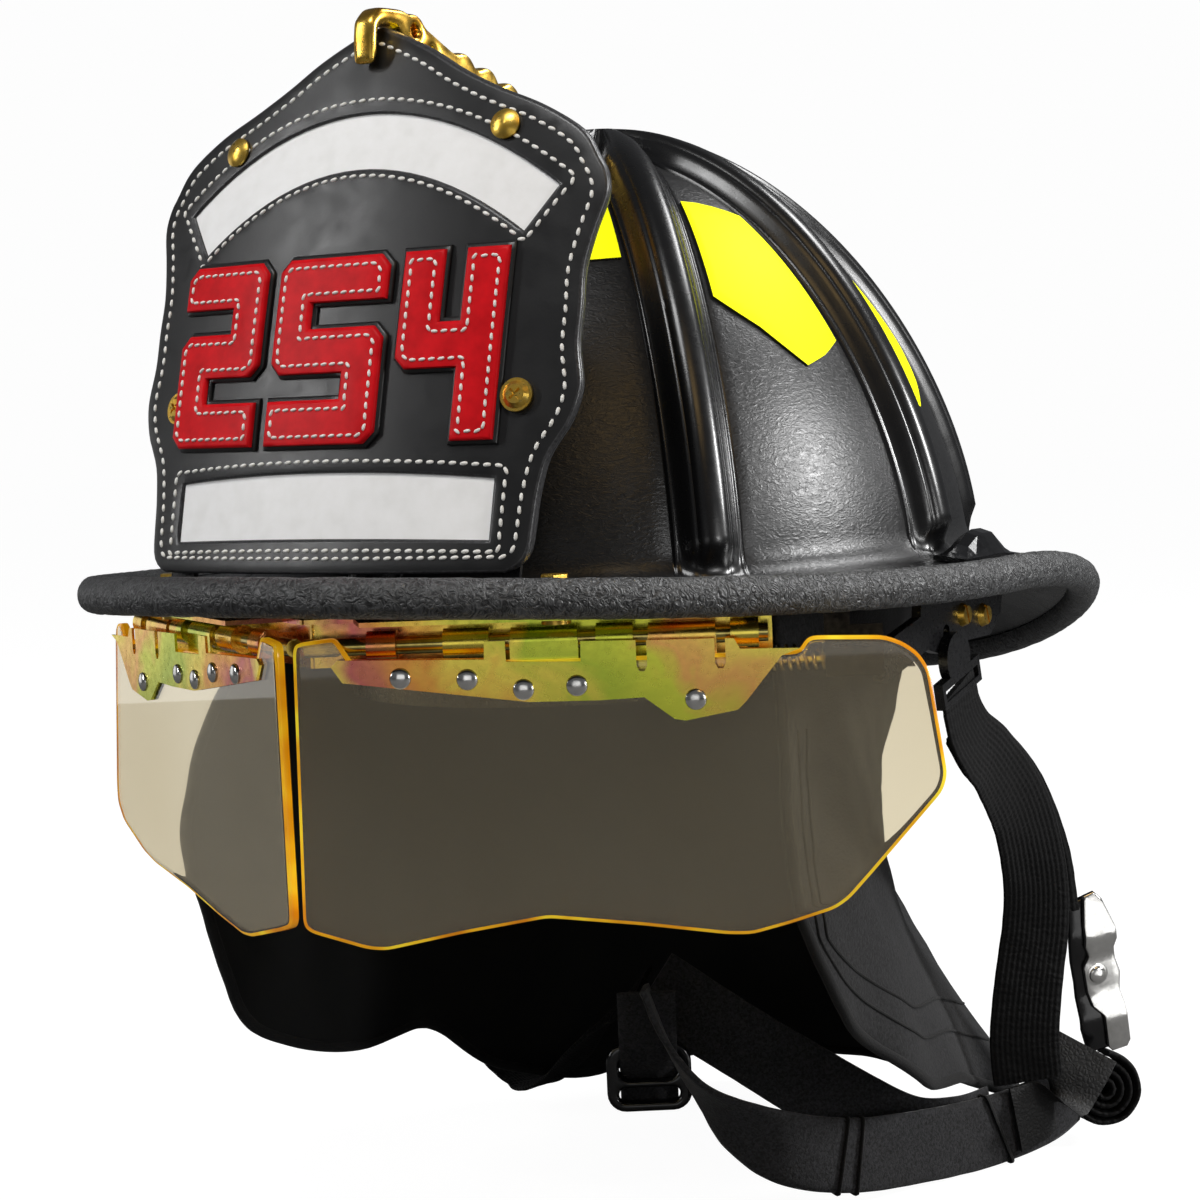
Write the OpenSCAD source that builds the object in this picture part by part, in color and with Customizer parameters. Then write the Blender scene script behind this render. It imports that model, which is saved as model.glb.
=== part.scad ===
// Traditional ribbed fire helmet with a leather front shield and two flip-down eye shields.
// Millimetres. The front faces -Y, the wearer's left is +X, and Z = 0 lies at the level of the brim.

/* [Dome] */
// Half width of the dome at its foot
dome_half_width = 104.5; // [102:0.5:108]
// Distance from the dome's centre to its foot at the front
dome_front = 129.5; // [126:0.5:132]
// Distance from the dome's centre to its foot at the back
dome_back = 136; // [130:0.5:140]
// Height of the dome between the ribs
dome_height = 129; // [124:0.5:134]
// Height of the ribs over the dome
rib_height = 8.5; // [5:0.5:10]
// Width of a rib at its foot
rib_width = 22; // [16:0.5:26]
// Wall of the shell
shell_wall = 3.2; // [2.6:0.1:3.6]

/* [Brim] */
// Half width of the brim to the middle of its bead
brim_half_width = 140.5; // [138:0.5:146]
// Reach of the brim to the front, to the middle of its bead
brim_front = 179.5; // [176:0.5:186]
// Reach of the brim to the back, to the middle of its bead
brim_back = 196.5; // [190:0.5:204]
// Drop of the brim at the back
brim_drop = 47; // [35:1:50]
// Radius of the edge bead
bead_radius = 5.5; // [4.6:0.1:6.2]

/* [Front shield] */
// Height of the leather shield
shield_height = 151; // [146:0.5:154]
// Half width of the leather shield at its shoulders
shield_half_width = 78; // [75:0.5:80]
// Thickness of the shield's leather
shield_leather = 4.5; // [3.5:0.1:5]
// Radius of the shield's curve around the dome
shield_radius = 280; // [250:5:330]

/* [Eye shields] */
// Angle of each lens from the frontal plane
lens_angle = 28.5; // [27.5:0.25:29.5]
// Where the two lens planes meet in front of the face
lens_apex = 161; // [158:0.5:162]
// Thickness of a lens
lens_thickness = 3; // [2.4:0.1:3.2]
// Thickness of the lens plates
plate_thickness = 0.8; // [0.6:0.1:1]
// Diameter of the hinge pins
pin_diameter = 5; // [4.6:0.1:5.2]
// Running clearance of the hinge pins, on the radius
pin_clearance = 0.08; // [0.05:0.01:0.1]
// Wall of the hinge knuckles
knuckle_wall = 1.1; // [0.9:0.1:1.2]

/* [Fitting] */
// Thickness of the impact cap
cap_thickness = 13; // [10:0.5:14]
// Height of the headband
band_height = 34; // [28:1:40]
// Width of the chin strap's webbing
strap_width = 23; // [20:0.5:25]
// Diameter of the ratchet knob
knob_diameter = 38; // [32:1:42]

/* [Hidden] */

// Small gap between pieces that rest on each other
seat = 0.3;
// Clearance of the cap inside the shell and of the bead round the brim's edge
cap_gap = 0.4;
bead_gap = 0.32;
dome_y = 9.65;
foot_z = 3;
foot_drop = 9;
front_rise = 8.2;
side_z = -0.3;

// Columns round the dome: seven on each rib, three between two ribs
rib_angles = [0, 51, 94, 137, 180, 223, 266, 309];
rib_steps = [-1, -0.62, -0.34, 0, 0.34, 0.62, 1];
rib_rise = [0, 0.55, 0.94, 1, 0.94, 0.55, 0];
gap_steps = [0.22, 0.5, 0.78];
rib_count = len(rib_angles);

// Angle from one rib to the next
function rib_gap(i) = ((rib_angles[(i + 1) % rib_count] - rib_angles[i]) + 360) % 360;
// Half the angle that rib i covers where the dome has shrunk by the factor r
function rib_half(i, r) = min(
    rib_width / 2 / (r * 115) * 180 / PI,
    0.46 * min(rib_gap(i), rib_gap((i + 7) % 8)));
function rib_columns(r) = [for (i = [0 : rib_count - 1]) each concat(
    [for (s = rib_steps) rib_angles[i] + s * rib_half(i, r)],
    [for (g = gap_steps) (rib_angles[i] + rib_half(i, r)) * (1 - g)
        + (rib_angles[i] + rib_gap(i) - rib_half((i + 1) % rib_count, r)) * g])];
function rib_rises() = [for (i = [0 : rib_count - 1]) each concat(rib_rise, [0, 0, 0])];

// A point of the dome at angle a from the front and height angle t, grown outwards by g
function dome_r(t) = pow(max(cos(t), 0), 1.03);
function dome_up(t) = pow(max(sin(t), 0), 1.235);
function dome_point(a, t, g, shrink = 0) =
    let (b = (cos(a) > 0 ? dome_front : dome_back) - shrink)
    [((dome_half_width - shrink) * dome_r(t) + g * cos(t)) * sin(a),
     dome_y - (b * dome_r(t) + g * cos(t)) * cos(a),
     foot_z + (dome_height - shrink) * dome_up(t) + g * sin(t)];

// The middle line of the brim, from the bead to the dome's foot
function bead_mid(a) = [
    brim_half_width * sin(a),
    -(cos(a) > 0 ? brim_front : brim_back) * cos(a),
    side_z + (cos(a) > 0 ? front_rise - side_z : -brim_drop) * pow(cos(a), 2)];
function foot_mid(a, out = 8) = [
    (dome_half_width + out) * sin(a),
    dome_y - ((cos(a) > 0 ? dome_front : dome_back) + out) * cos(a),
    foot_z - shell_wall / 2 - (cos(a) > 0 ? 0 : foot_drop * pow(cos(a), 2))];
function unit(v) = v / norm(v);
// Outward along the brim's slope, and square to it
function brim_out(a) = unit(bead_mid(a) - foot_mid(a));
function brim_up(a) =
    let (e = brim_out(a), h = norm([e[0], e[1]]))
    [-e[0] * e[2] / h, -e[1] * e[2] / h, h];
function brim_point(a, f, up) = bead_mid(a) * (1 - f) + foot_mid(a) * f + brim_up(a) * up;
function bend(p, q, r, t) = p * pow(1 - t, 2) + q * 2 * t * (1 - t) + r * pow(t, 2);

// Faces of a tube of rings, each with n points; closed on itself when loop is true
function ring_faces(rings, n, loop = false) = [for (i = [0 : rings - (loop ? 1 : 2)]) for (j = [0 : n - 1]) each
    let (k = (i + 1) % rings, m = (j + 1) % n)
    [[i * n + j, k * n + j, i * n + m], [k * n + j, k * n + m, i * n + m]]];
function fan_faces(ring, n, apex, flip) = [for (j = [0 : n - 1])
    let (m = (j + 1) % n, a = ring * n + j, b = ring * n + m)
    flip ? [b, a, apex] : [a, b, apex]];

// Shell
dome_steps = [7, 13, 20, 28, 37, 46, 54, 62, 69, 75, 80, 85];
inner_steps = [4, 14, 28, 44, 60, 75];
foot_columns = rib_columns(1);
rises = rib_rises();
columns = len(foot_columns);

function shell_ring(f, up) = [for (a = foot_columns) brim_point(a, f, up)];
function fillet_ring(t) = [for (j = [0 : columns - 1])
    let (a = foot_columns[j], lift = rises[j] * rib_height)
    bend(brim_point(a, 0.92, shell_wall / 2), foot_mid(a, 0) + [0, 0, shell_wall / 2],
         dome_point(a, dome_steps[0], lift), t)];
function dome_ring(t) =
    let (cols = rib_columns(max(dome_r(t), 0.06)))
    [for (j = [0 : columns - 1]) dome_point(cols[j], t, rises[j] * rib_height)];
function inner_ring(t) =
    let (cols = rib_columns(max(dome_r(t), 0.06)))
    [for (j = [0 : columns - 1]) dome_point(cols[j], t, 0, shell_wall)];

shell_rings = concat(
    [shell_ring(0, shell_wall / 2), shell_ring(0.4, shell_wall / 2), shell_ring(0.92, shell_wall / 2)],
    [fillet_ring(0.35), fillet_ring(0.7)],
    [for (t = dome_steps) dome_ring(t)]);
shell_inner = concat(
    [for (t = [len(inner_steps) - 1 : -1 : 0]) inner_ring(inner_steps[t])],
    [shell_ring(1.0, -shell_wall / 2), shell_ring(0.5, -shell_wall / 2), shell_ring(0, -shell_wall / 2)]);

module shell_solid() {
    n = columns;
    a = len(shell_rings);
    b = len(shell_inner);
    top = dome_point(0, 90, rib_height);
    under = dome_point(0, 90, 0, shell_wall);
    points = concat([for (r = shell_rings) each r], [for (r = shell_inner) each r], [top, under]);
    outer = ring_faces(a, n);
    inner = [for (f = ring_faces(b, n)) [f[0] + a * n, f[1] + a * n, f[2] + a * n]];
    edge = [for (j = [0 : n - 1]) each
        let (m = (j + 1) % n, p = (a + b - 1) * n)
        [[p + j, j, p + m], [j, m, p + m]]];
    polyhedron(points, concat(
        outer, inner, edge,
        fan_faces(a - 1, n, (a + b) * n, true),
        fan_faces(a, n, (a + b) * n + 1, false)), 6);
}

post_x = 66.9;
post_y = -128.7;
post_radius = 2.6;

module shell() {
    color("#17181a")
    difference() {
        shell_solid();
        for (s = [-1, 1])
            translate([s * post_x, post_y, -6])
                cylinder(h = 24, r = post_radius + 0.1, $fn = 32);
    }
}

// Edge bead, a gripping profile with a slot for the brim's edge
slot_half = shell_wall / 2 + bead_gap;
bead_open = asin(slot_half / bead_radius);
bead_section = concat(
    [for (i = [0 : 11]) let (w = 180 - bead_open - i * (360 - 2 * bead_open) / 11)
        [bead_radius * cos(w), bead_radius * sin(w)]],
    [[bead_gap, -slot_half], [bead_gap, slot_half]]);

module brim_bead() {
    n = len(bead_section);
    color("#2b2c2e")
    polyhedron(
        [for (a = foot_columns) each
            [for (p = bead_section) bead_mid(a) + brim_out(a) * p[0] + brim_up(a) * p[1]]],
        ring_faces(columns, n, true), 6);
}

// Reflective patches, thin curved sheets on the dome between the ribs
patch_thickness = 0.6;
patch_gap = 0.4;
patch_rows = 8;
// Outline of the patches on the wearer's left, front to back.
// Each point is its share of the smooth stretch, then its lower and its upper angle
patch_net = [
    [[0.04, 50, 64], [0.3, 49.8, 65], [0.6, 49.6, 65], [0.8, 49.8, 64.6], [0.97, 50, 64]],
    [[0.05, 43, 61.6], [0.34, 38.1, 61.2], [0.6, 32.2, 60.3], [0.78, 33.6, 59.4], [0.96, 35.7, 58.2]],
    [[0.04, 27.5, 58.2], [0.24, 25.2, 59.4], [0.45, 29, 60.3], [0.7, 35, 61.2], [0.96, 41, 61.6]],
    [[0.05, 41, 61.6], [0.34, 36, 61.2], [0.6, 30, 60.3], [0.78, 31, 59.4], [0.96, 33, 58.2]]];

// A point's angle round the dome in the smooth stretch between rib i and the next one, at the share u
function gap_angle(i, t, u) =
    let (a = rib_half(i, dome_r(t)), b = rib_half((i + 1) % rib_count, dome_r(t)))
    rib_angles[i] + a + (rib_gap(i) - a - b) * u;

module patch(i) {
    left = i < rib_count / 2;
    net = patch_net[left ? i : rib_count - 1 - i];
    n = len(net);
    function at(r, c, g) =
        let (q = net[left ? c : n - 1 - c], t = q[1] + (q[2] - q[1]) * r / (patch_rows - 1))
        dome_point(gap_angle(i, t, left ? q[0] : 1 - q[0]), t, g);
    front = [for (r = [0 : patch_rows - 1]) for (c = [0 : n - 1]) at(r, c, patch_gap + patch_thickness)];
    back = [for (r = [0 : patch_rows - 1]) for (c = [0 : n - 1]) at(r, c, patch_gap)];
    sheet(front, back, patch_rows, n);
}

// Closes a grid of front points and a grid of back points into one thin solid
module sheet(front, back, rows, n) {
    k = rows * n;
    last = rows - 1;
    faces = concat(
        [for (r = [0 : rows - 2]) for (c = [0 : n - 2]) each
            [[r * n + c, (r + 1) * n + c, r * n + c + 1],
             [(r + 1) * n + c, (r + 1) * n + c + 1, r * n + c + 1]]],
        [for (r = [0 : rows - 2]) for (c = [0 : n - 2]) each
            [[k + r * n + c, k + r * n + c + 1, k + (r + 1) * n + c],
             [k + (r + 1) * n + c, k + r * n + c + 1, k + (r + 1) * n + c + 1]]],
        [for (c = [0 : n - 2]) each [[c, c + 1, k + c], [c + 1, k + c + 1, k + c]]],
        [for (c = [0 : n - 2]) each
            [[last * n + c, k + last * n + c, last * n + c + 1],
             [last * n + c + 1, k + last * n + c, k + last * n + c + 1]]],
        [for (r = [0 : rows - 2]) each
            [[r * n, k + r * n, (r + 1) * n], [(r + 1) * n, k + r * n, k + (r + 1) * n]]],
        [for (r = [0 : rows - 2]) each
            [[r * n + n - 1, (r + 1) * n + n - 1, k + r * n + n - 1],
             [(r + 1) * n + n - 1, k + (r + 1) * n + n - 1, k + r * n + n - 1]]]);
    polyhedron(concat(front, back), faces, 4);
}

module reflective_patches() {
    color("#f6ff2e")
    for (i = [0 : rib_count - 1])
        patch(i);
}

// Impact cap, a foam dome inside the shell
cap_steps = [3, 14, 28, 44, 60, 75];
cap_columns = [for (i = [0 : 33]) 4 + i * 360 / 34];
cap_outer = shell_wall + cap_gap;
cap_inner = cap_outer + cap_thickness;

module impact_cap() {
    n = len(cap_columns);
    a = len(cap_steps);
    rings = concat(
        [for (t = cap_steps) [for (c = cap_columns) dome_point(c, t, 0, cap_outer + 0.6)]],
        [for (i = [a - 1 : -1 : 0]) [for (c = cap_columns) dome_point(c, cap_steps[i], 0, cap_inner)]]);
    points = concat([for (r = rings) each r],
        [dome_point(0, 90, 0, cap_outer + 0.6), dome_point(0, 90, 0, cap_inner)]);
    half = ring_faces(a, n);
    edge = [for (j = [0 : n - 1]) each
        let (m = (j + 1) % n, p = (2 * a - 1) * n)
        [[p + j, j, p + m], [j, m, p + m]]];
    color("#1d1d1f")
    polyhedron(points, concat(
        half, [for (f = half) [f[0] + a * n, f[1] + a * n, f[2] + a * n]], edge,
        fan_faces(a - 1, n, 2 * a * n, true), fan_faces(a, n, 2 * a * n + 1, false)), 6);
}

// Headband, brow pad and crown straps
// Room between the shell's foot and the inside of the band at the sides, and at the front and back
side_room = 27.5;
end_room = 34.75;
band_x = dome_half_width - side_room;
band_y = (dome_front + dome_back) / 2 - end_room;
band_wall = 2;
band_top = 2;

// An oval as a polygon, so that the band keeps straight walls
function oval(x, y, n = 64) = [for (i = [0 : n - 1]) [x * cos(i * 360 / n), y * sin(i * 360 / n)]];

module headband() {
    color("#1b1b1d")
    translate([0, dome_y, band_top - band_height])
        difference() {
            linear_extrude(band_height)
                difference() {
                    polygon(oval(band_x + band_wall, band_y + band_wall));
                    polygon(oval(band_x, band_y));
                }
            for (a = [25, 65, 115, 155])
                rotate([0, 0, a])
                    translate([0, 0, band_height / 2])
                        rotate([90, 0, 0])
                            cylinder(h = 260, r = 4, center = true, $fn = 32);
        }
}

module brow_pad() {
    color("#242426")
    translate([0, dome_y, band_top - band_height + 2])
        linear_extrude(band_height - 8)
            intersection() {
                difference() {
                    polygon(oval(band_x - seat, band_y - seat));
                    polygon(oval(band_x - seat - 5, band_y - seat - 5));
                }
                translate([-41, -130])
                    square([82, 90]);
            }
}

// Room between the top of the dome and the lowest crown strap
crown_room = 32;
crown_top = dome_height - crown_room;
crown_foot = band_top - 3;
crown_thick = 1.2;
crown_wide = 19;
crown_turns = [0, 45, -45];
crown_lift = [0, 2.9, 5.8];

// A point on the band's inner oval, drawn in by the distance d, with the oval's own direction there
function oval_point(turn, d) = [(band_x - d) * cos(turn), (band_y - d) * sin(turn), 0];
function oval_along(turn) = unit([-band_x * sin(turn), band_y * cos(turn), 0]);

// One webbing strap that arches over the head from one side of the band to the other
module crown_strap(turn, lift) {
    steps = 18;
    w = oval_along(turn) * crown_wide / 2;
    function mid(i, g) =
        let (t = i * 180 / steps, e = oval_point(turn, 3 * seat + crown_thick - g))
        e * cos(t) + [0, dome_y, crown_foot - 6 + (crown_top + lift + g - crown_foot + 6) * sin(t)];
    front = [for (i = [0 : steps]) each [mid(i, crown_thick) - w, mid(i, crown_thick) + w]];
    back = [for (i = [0 : steps]) each [mid(i, 0) - w, mid(i, 0) + w]];
    sheet(front, back, steps + 1, 2);
}

module crown_straps() {
    color("#2a2a2c")
    for (i = [0 : 2])
        crown_strap(crown_turns[i], crown_lift[i]);
}

key_size = [3, 16, 12];

// Distance from the band's outer face to the inside of the cap, square to the band
function cap_reach(turn) =
    let (
        p = oval_point(turn, -band_wall), w = oval_along(turn),
        a = dome_half_width - cap_inner, b = (p[1] > 0 ? dome_back : dome_front) - cap_inner,
        u = w[1] / a, v = -w[0] / b, x = p[0] / a, y = p[1] / b,
        k = u * u + v * v, m = x * u + y * v)
    (sqrt(m * m - k * (x * x + y * y - 1)) - m) / k;

// Side view of a hanger: it grips the band's outside and hooks behind the cap's foot
function hanger_outline(reach) = [
    [seat, -9], [3, -9], [3, 1], [reach - 1.45, 7], [reach - 2.35, 11], [reach - 4.4, 11], [seat, 4]];

// Plastic keys that hold the ends of the crown straps in the band,
// and the hangers that carry the band from the cap
module strap_keys() {
    color("#101012")
    for (turn = crown_turns)
        for (s = [0, 180]) {
            e = oval_point(turn + s, 5 * seat + crown_thick);
            f = oval_point(turn + s, -band_wall);
            w = oval_along(turn + s);
            translate([e[0], dome_y + e[1], crown_foot - 13])
                rotate([0, 0, atan2(-w[0], w[1])])
                    translate([-key_size[0], -key_size[1] / 2, 0])
                        cube(key_size);
            translate([f[0], dome_y + f[1], 0])
                rotate([0, 0, atan2(-w[0], w[1])])
                    rotate([90, 0, 0])
                        linear_extrude(9, center = true)
                            polygon(hanger_outline(cap_reach(turn + s)));
        }
}

// Ratchet at the back of the headband
ratchet_z = -22;
ratchet_y = dome_y + band_y + band_wall;
knob_seat = 10.5;
knob_bore = 7.5;

module ratchet_housing() {
    color("#121214")
    translate([0, ratchet_y + seat, ratchet_z])
        rotate([-90, 0, 0])
            difference() {
                union() {
                    hull() {
                        translate([-26, 0, 0])
                            cylinder(h = 8, r = 13, $fn = 32);
                        translate([26, 0, 0])
                            cylinder(h = 8, r = 13, $fn = 32);
                    }
                    cylinder(h = 10, r = knob_diameter / 2 - 4, $fn = 48);
                    cylinder(h = knob_seat + knob_bore - 1.5, r = 3, $fn = 32);
                }
                translate([0, 0, -1])
                    cylinder(h = 30, r = 1.2, $fn = 24);
            }
}

module ratchet_knob() {
    color("#0e0e10")
    translate([0, ratchet_y + seat + knob_seat, ratchet_z])
        rotate([-90, 0, 0])
            difference() {
                cylinder(h = 9, r = knob_diameter / 2, $fn = 64);
                translate([0, 0, -1])
                    cylinder(h = knob_bore, r = 3.08, $fn = 32);
                for (i = [0 : 11])
                    rotate([0, 0, i * 30])
                        translate([knob_diameter / 2 + 2, 0, -1])
                            cylinder(h = 12, r = 3.4, $fn = 24);
            }
}

// Leather front shield
shield_base = 11.5;
shield_rows = [
    [0, 0.76], [0.01, 0.805], [0.035, 0.84], [0.09, 0.85], [0.13, 0.855], [0.19, 0.875], [0.225, 0.91],
    [0.255, 0.945], [0.295, 0.969], [0.33, 0.972], [0.39, 0.951], [0.455, 0.951], [0.52, 0.946],
    [0.587, 0.968], [0.652, 1], [0.695, 0.985], [0.72, 0.955], [0.772, 0.885], [0.825, 0.72], [0.865, 0.54], [0.905, 0.385], [0.945, 0.255],
    [0.98, 0.115], [1, 0.02]];

// Depth of the shield's middle line: it leans back, and more so towards its top
shield_foot = 150.2;
shield_slope = 0.2264;
shield_bend = 744;
function shield_lean(z) = shield_slope * z - shield_foot + pow(z, 3) / pow(shield_bend, 2);
function shield_point(x, z, d) =
    let (a = asin(x / shield_radius))
    [sin(a) * (shield_radius - d), shield_lean(z) + shield_radius - (shield_radius - d) * cos(a), z];

module front_shield() {
    across = 14;
    n = across + 1;
    rows = len(shield_rows);
    function at(r, c, d) =
        shield_point(shield_half_width * shield_rows[r][1] * (c / across * 2 - 1),
                     shield_base + shield_height * shield_rows[r][0], d);
    color("#141415")
    sheet(
        [for (r = [0 : rows - 1]) for (c = [0 : across]) at(r, c, 0)],
        [for (r = [0 : rows - 1]) for (c = [0 : across]) at(r, c, shield_leather)],
        rows, n);
}

// Puts a fastener at x, z of the shield, with its own +Z square to the leather's face
module on_shield(x, z, d = 0) {
    a = asin(x / shield_radius);
    tilt = atan(shield_slope + 3 * pow(z / shield_bend, 2));
    translate(shield_point(x, z, d))
        rotate([0, 0, a])
            rotate([90 - tilt, 0, 0])
                children();
}

screw_x = 59;
screw_z = 57.8;
rivet_x = 47;
rivet_z = 131;

module shield_fasteners() {
    color("#c9a23c")
    for (s = [-1, 1]) {
        on_shield(s * screw_x, screw_z)
            translate([0, 0, seat])
                difference() {
                    union() {
                        cylinder(h = 1, r = 4.6, $fn = 40);
                        translate([0, 0, 1])
                            cylinder(h = 1.1, r1 = 3.8, r2 = 2.6, $fn = 40);
                    }
                    for (a = [45, 135])
                        rotate([0, 0, a])
                            translate([-1.9, -0.35, 1.4])
                                cube([3.8, 0.7, 2]);
                }
        on_shield(s * rivet_x, rivet_z)
            translate([0, 0, seat])
                intersection() {
                    cylinder(h = 3, r = 4.3, $fn = 40);
                    translate([0, 0, -5.4])
                        sphere(r = 7.4, $fn = 48);
                }
    }
}

tab_inner = 51.5;
tab_outer = 62;
tab_thick = 1.6;
tab_rows = [5.9, 14, 23, 32, 41, 50, 58, 65];

// Tabs that stand on the brim behind the shield and take its two screws
module shield_tabs() {
    color("#1a1a1c")
    for (s = [-1, 1]) {
        middle = s * (tab_inner + tab_outer) / 2;
        half = (tab_outer - tab_inner) / 2;
        xs = [middle - half, middle, middle + half];
        sheet(
            [for (z = tab_rows) for (x = xs) shield_point(x, z, shield_leather + seat)],
            [for (z = tab_rows) for (x = xs) shield_point(x, z, shield_leather + seat + tab_thick)],
            len(tab_rows), 3);
    }
}

// Brass front holder: a scalloped crest on the front rib, with a hook over the shield
holder_half = 4;
crest_foot = [for (t = [82, 80, 75, 69, 62, 54]) let (q = dome_point(0, t, rib_height + 0.4)) [q[1], q[2]]];
crest_points = concat(crest_foot, [
    [-72, 120], [-76, 136], [-81, 148], [-90, 156], [-98.6, 160.3], [-99.8, 163], [-109.2, 163],
    [-111, 151.4], [-114, 151.2], [-113.2, 164], [-108.6, 168], [-97.6, 168.4], [-90.6, 165.6], [-82, 162],
    [-71, 156.8], [-58, 151.4], [-44, 147.2], [-28, 142.6], [-14, 139.8]]);
scallops = [
    [-69, 152.2, 6.4], [-57.4, 149, 6.2], [-46, 145.4, 6], [-35.4, 142.2, 5.6], [-26, 140, 5.2],
    [-17.4, 140.4, 3.2]];

module front_holder() {
    color("#d2a63a")
    rotate([90, 0, 90])
        difference() {
            union() {
                translate([0, 0, -holder_half])
                    linear_extrude(2 * holder_half)
                        polygon(crest_points);
                for (c = scallops)
                    translate([c[0], c[1], -holder_half])
                        cylinder(h = 2 * holder_half, r = c[2], $fn = 40);
                translate([-92.2, 162.6, -holder_half])
                    cylinder(h = 2 * holder_half, r = 5.2, $fn = 40);
            }
            for (h = [[-92.2, 162.6, 2], [-84.8, 157, 1.6]])
                translate([h[0], h[1], -holder_half - 1])
                    cylinder(h = 2 * holder_half + 2, r = h[2], $fn = 32);
        }
}

// Eye shields
pin_radius = pin_diameter / 2;
knuckle_radius = pin_radius + pin_clearance + knuckle_wall;
// Depth of the hinge axis behind the middle of the lens, and its height
pin_depth = lens_thickness / 2 + knuckle_radius;
pin_z = -8;
barrel_radius = knuckle_radius + 0.4;
pin_start = 5;
pin_end = 130;
rail_depth = pin_depth + knuckle_radius + 1.9;
rail_wall = 1.3;
// The flange's upper side, just under the brim
rail_top = -0.5;
rail_end = 124;
// Spans of the fixed barrels and of the swinging knuckles along the pin
barrel_spans = [[22, 30], [42.8, 55.2], [84, 94], [120, 127.5]];
knuckle_spans = [[61, 79], [98, 116]];

// Local frame of one eye shield: X along its pin, -Y out through the lens. s is 1 on the wearer's left
module eye_frame(s) {
    mirror([s < 0 ? 1 : 0, 0, 0])
        translate([0, -lens_apex, 0])
            rotate([0, 0, lens_angle])
                children();
}

// A flat plate with its outline in X and Z, from y0 to y1
module slab(outline, y0, y1) {
    translate([0, y1, 0])
        rotate([90, 0, 0])
            linear_extrude(y1 - y0)
                polygon(outline);
}

lens_outline_left = [
    [1.6, -81.5], [2.6, -8], [3.6, -6], [13.3, -5], [14.6, -5.6], [19, -12.8], [138, -12.8], [140, -9.8],
    [142, -9], [160.5, -9.6], [165.5, -11.5], [169.5, -14.5], [172.2, -19], [175.9, -47], [174.5, -51.5],
    [155.5, -72.5], [149, -79.5], [145, -82.2], [133, -85.8], [122.6, -88.4], [116, -88.2], [94, -85.2],
    [68, -82.4], [45, -86], [24, -90], [19, -89.6], [4, -84.8], [2.2, -83.4]];
lens_outline_right = [
    [1.6, -81.5], [2.6, -8], [3.6, -6], [13.3, -5], [14.6, -5.6], [19, -12.8], [128, -12.8], [130, -9.8],
    [131, -8], [136.4, -8.4], [138, -12], [145.2, -60], [145, -66], [140, -71.5], [123, -78.4], [113, -80.8], [84, -84.4],
    [60, -88.6], [40, -91.4], [33, -91], [10, -85.6], [3, -83.6]];

module lens_left() {
    color([0.72, 0.66, 0.5, 0.55])
    eye_frame(1)
        slab(lens_outline_left, -lens_thickness / 2, lens_thickness / 2);
}

module lens_right() {
    color([0.72, 0.66, 0.5, 0.55])
    eye_frame(-1)
        slab(lens_outline_right, -lens_thickness / 2, lens_thickness / 2);
}

plate_lower = [
    [133.4, -13.8], [123.8, -25.4], [121.3, -27.8], [107.5, -30.2], [104.5, -29.7], [96.6, -23.6], [84.6, -24],
    [65.8, -23.8], [15.8, -17], [12.9, -12.6], [14.6, -10.9], [54.2, -12]];
plate_upper = [
    [54.4, -7.2], [60, -7.2], [60.1, -12.8], [80, -13.4], [80.2, -8], [94.9, -8.3], [94.9, -15.2],
    [95.6, -16.6], [97, -16.6], [97.7, -15.2], [97.7, -8.4], [115.8, -8.6], [115.8, -15.2], [116.5, -16.6], [117.9, -16.6],
    [118.6, -15.2], [118.6, -8.6], [121, -8.8], [122.5, -11.6], [138.6, -11.9]];

module outer_plate() {
    color("#b9a52f")
    slab(concat(plate_lower, plate_upper), -lens_thickness / 2 - plate_thickness, -lens_thickness / 2);
}

module outer_plate_left() {
    eye_frame(1)
        outer_plate();
}

module outer_plate_right() {
    eye_frame(-1)
        outer_plate();
}

module along_pin(span, r) {
    translate([span[0], pin_depth, pin_z])
        rotate([0, 90, 0])
            cylinder(h = span[1] - span[0], r = r, $fn = 40);
}

inner_upper = [
    [56.4, -12.6], [60.8, -12.6], [60.8, pin_z], [79.2, pin_z], [79.2, -13.4], [97.8, -13.4], [97.8, pin_z],
    [116.2, pin_z], [116.2, -13.2], [134.6, -13.4]];

module inner_plate() {
    color("#a8962c")
    difference() {
        union() {
            slab(concat(plate_lower, inner_upper), lens_thickness / 2, lens_thickness / 2 + plate_thickness);
            for (k = knuckle_spans)
                along_pin([k[0], k[1]], knuckle_radius);
        }
        along_pin([50, 130], pin_radius + pin_clearance);
    }
}

module inner_plate_left() {
    eye_frame(1)
        inner_plate();
}

module inner_plate_right() {
    eye_frame(-1)
        inner_plate();
}

plate_rivet_spots = [[31.5, -16.3], [49.5, -17.2], [64.5, -20.4], [78.8, -19.8], [110.3, -24.6]];
rivet_radius = 2.9;

module plate_rivets() {
    color("#d9d6cc")
    for (p = plate_rivet_spots) {
        translate([p[0], -lens_thickness / 2 - plate_thickness, p[1]])
            rotate([90, 0, 0])
                cylinder(h = 1.2, r1 = rivet_radius, r2 = rivet_radius - 1.1, $fn = 40);
        translate([p[0], lens_thickness / 2 + plate_thickness, p[1]])
            rotate([-90, 0, 0])
                cylinder(h = 0.9, r1 = rivet_radius - 0.4, r2 = rivet_radius - 1.2, $fn = 40);
    }
}

module plate_rivets_left() {
    eye_frame(1)
        plate_rivets();
}

module plate_rivets_right() {
    eye_frame(-1)
        plate_rivets();
}

module hinge_pin() {
    color("#b99a3a")
    along_pin([pin_start, pin_end], pin_radius);
}

module hinge_pin_left() {
    eye_frame(1)
        hinge_pin();
}

module hinge_pin_right() {
    eye_frame(-1)
        hinge_pin();
}

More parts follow.
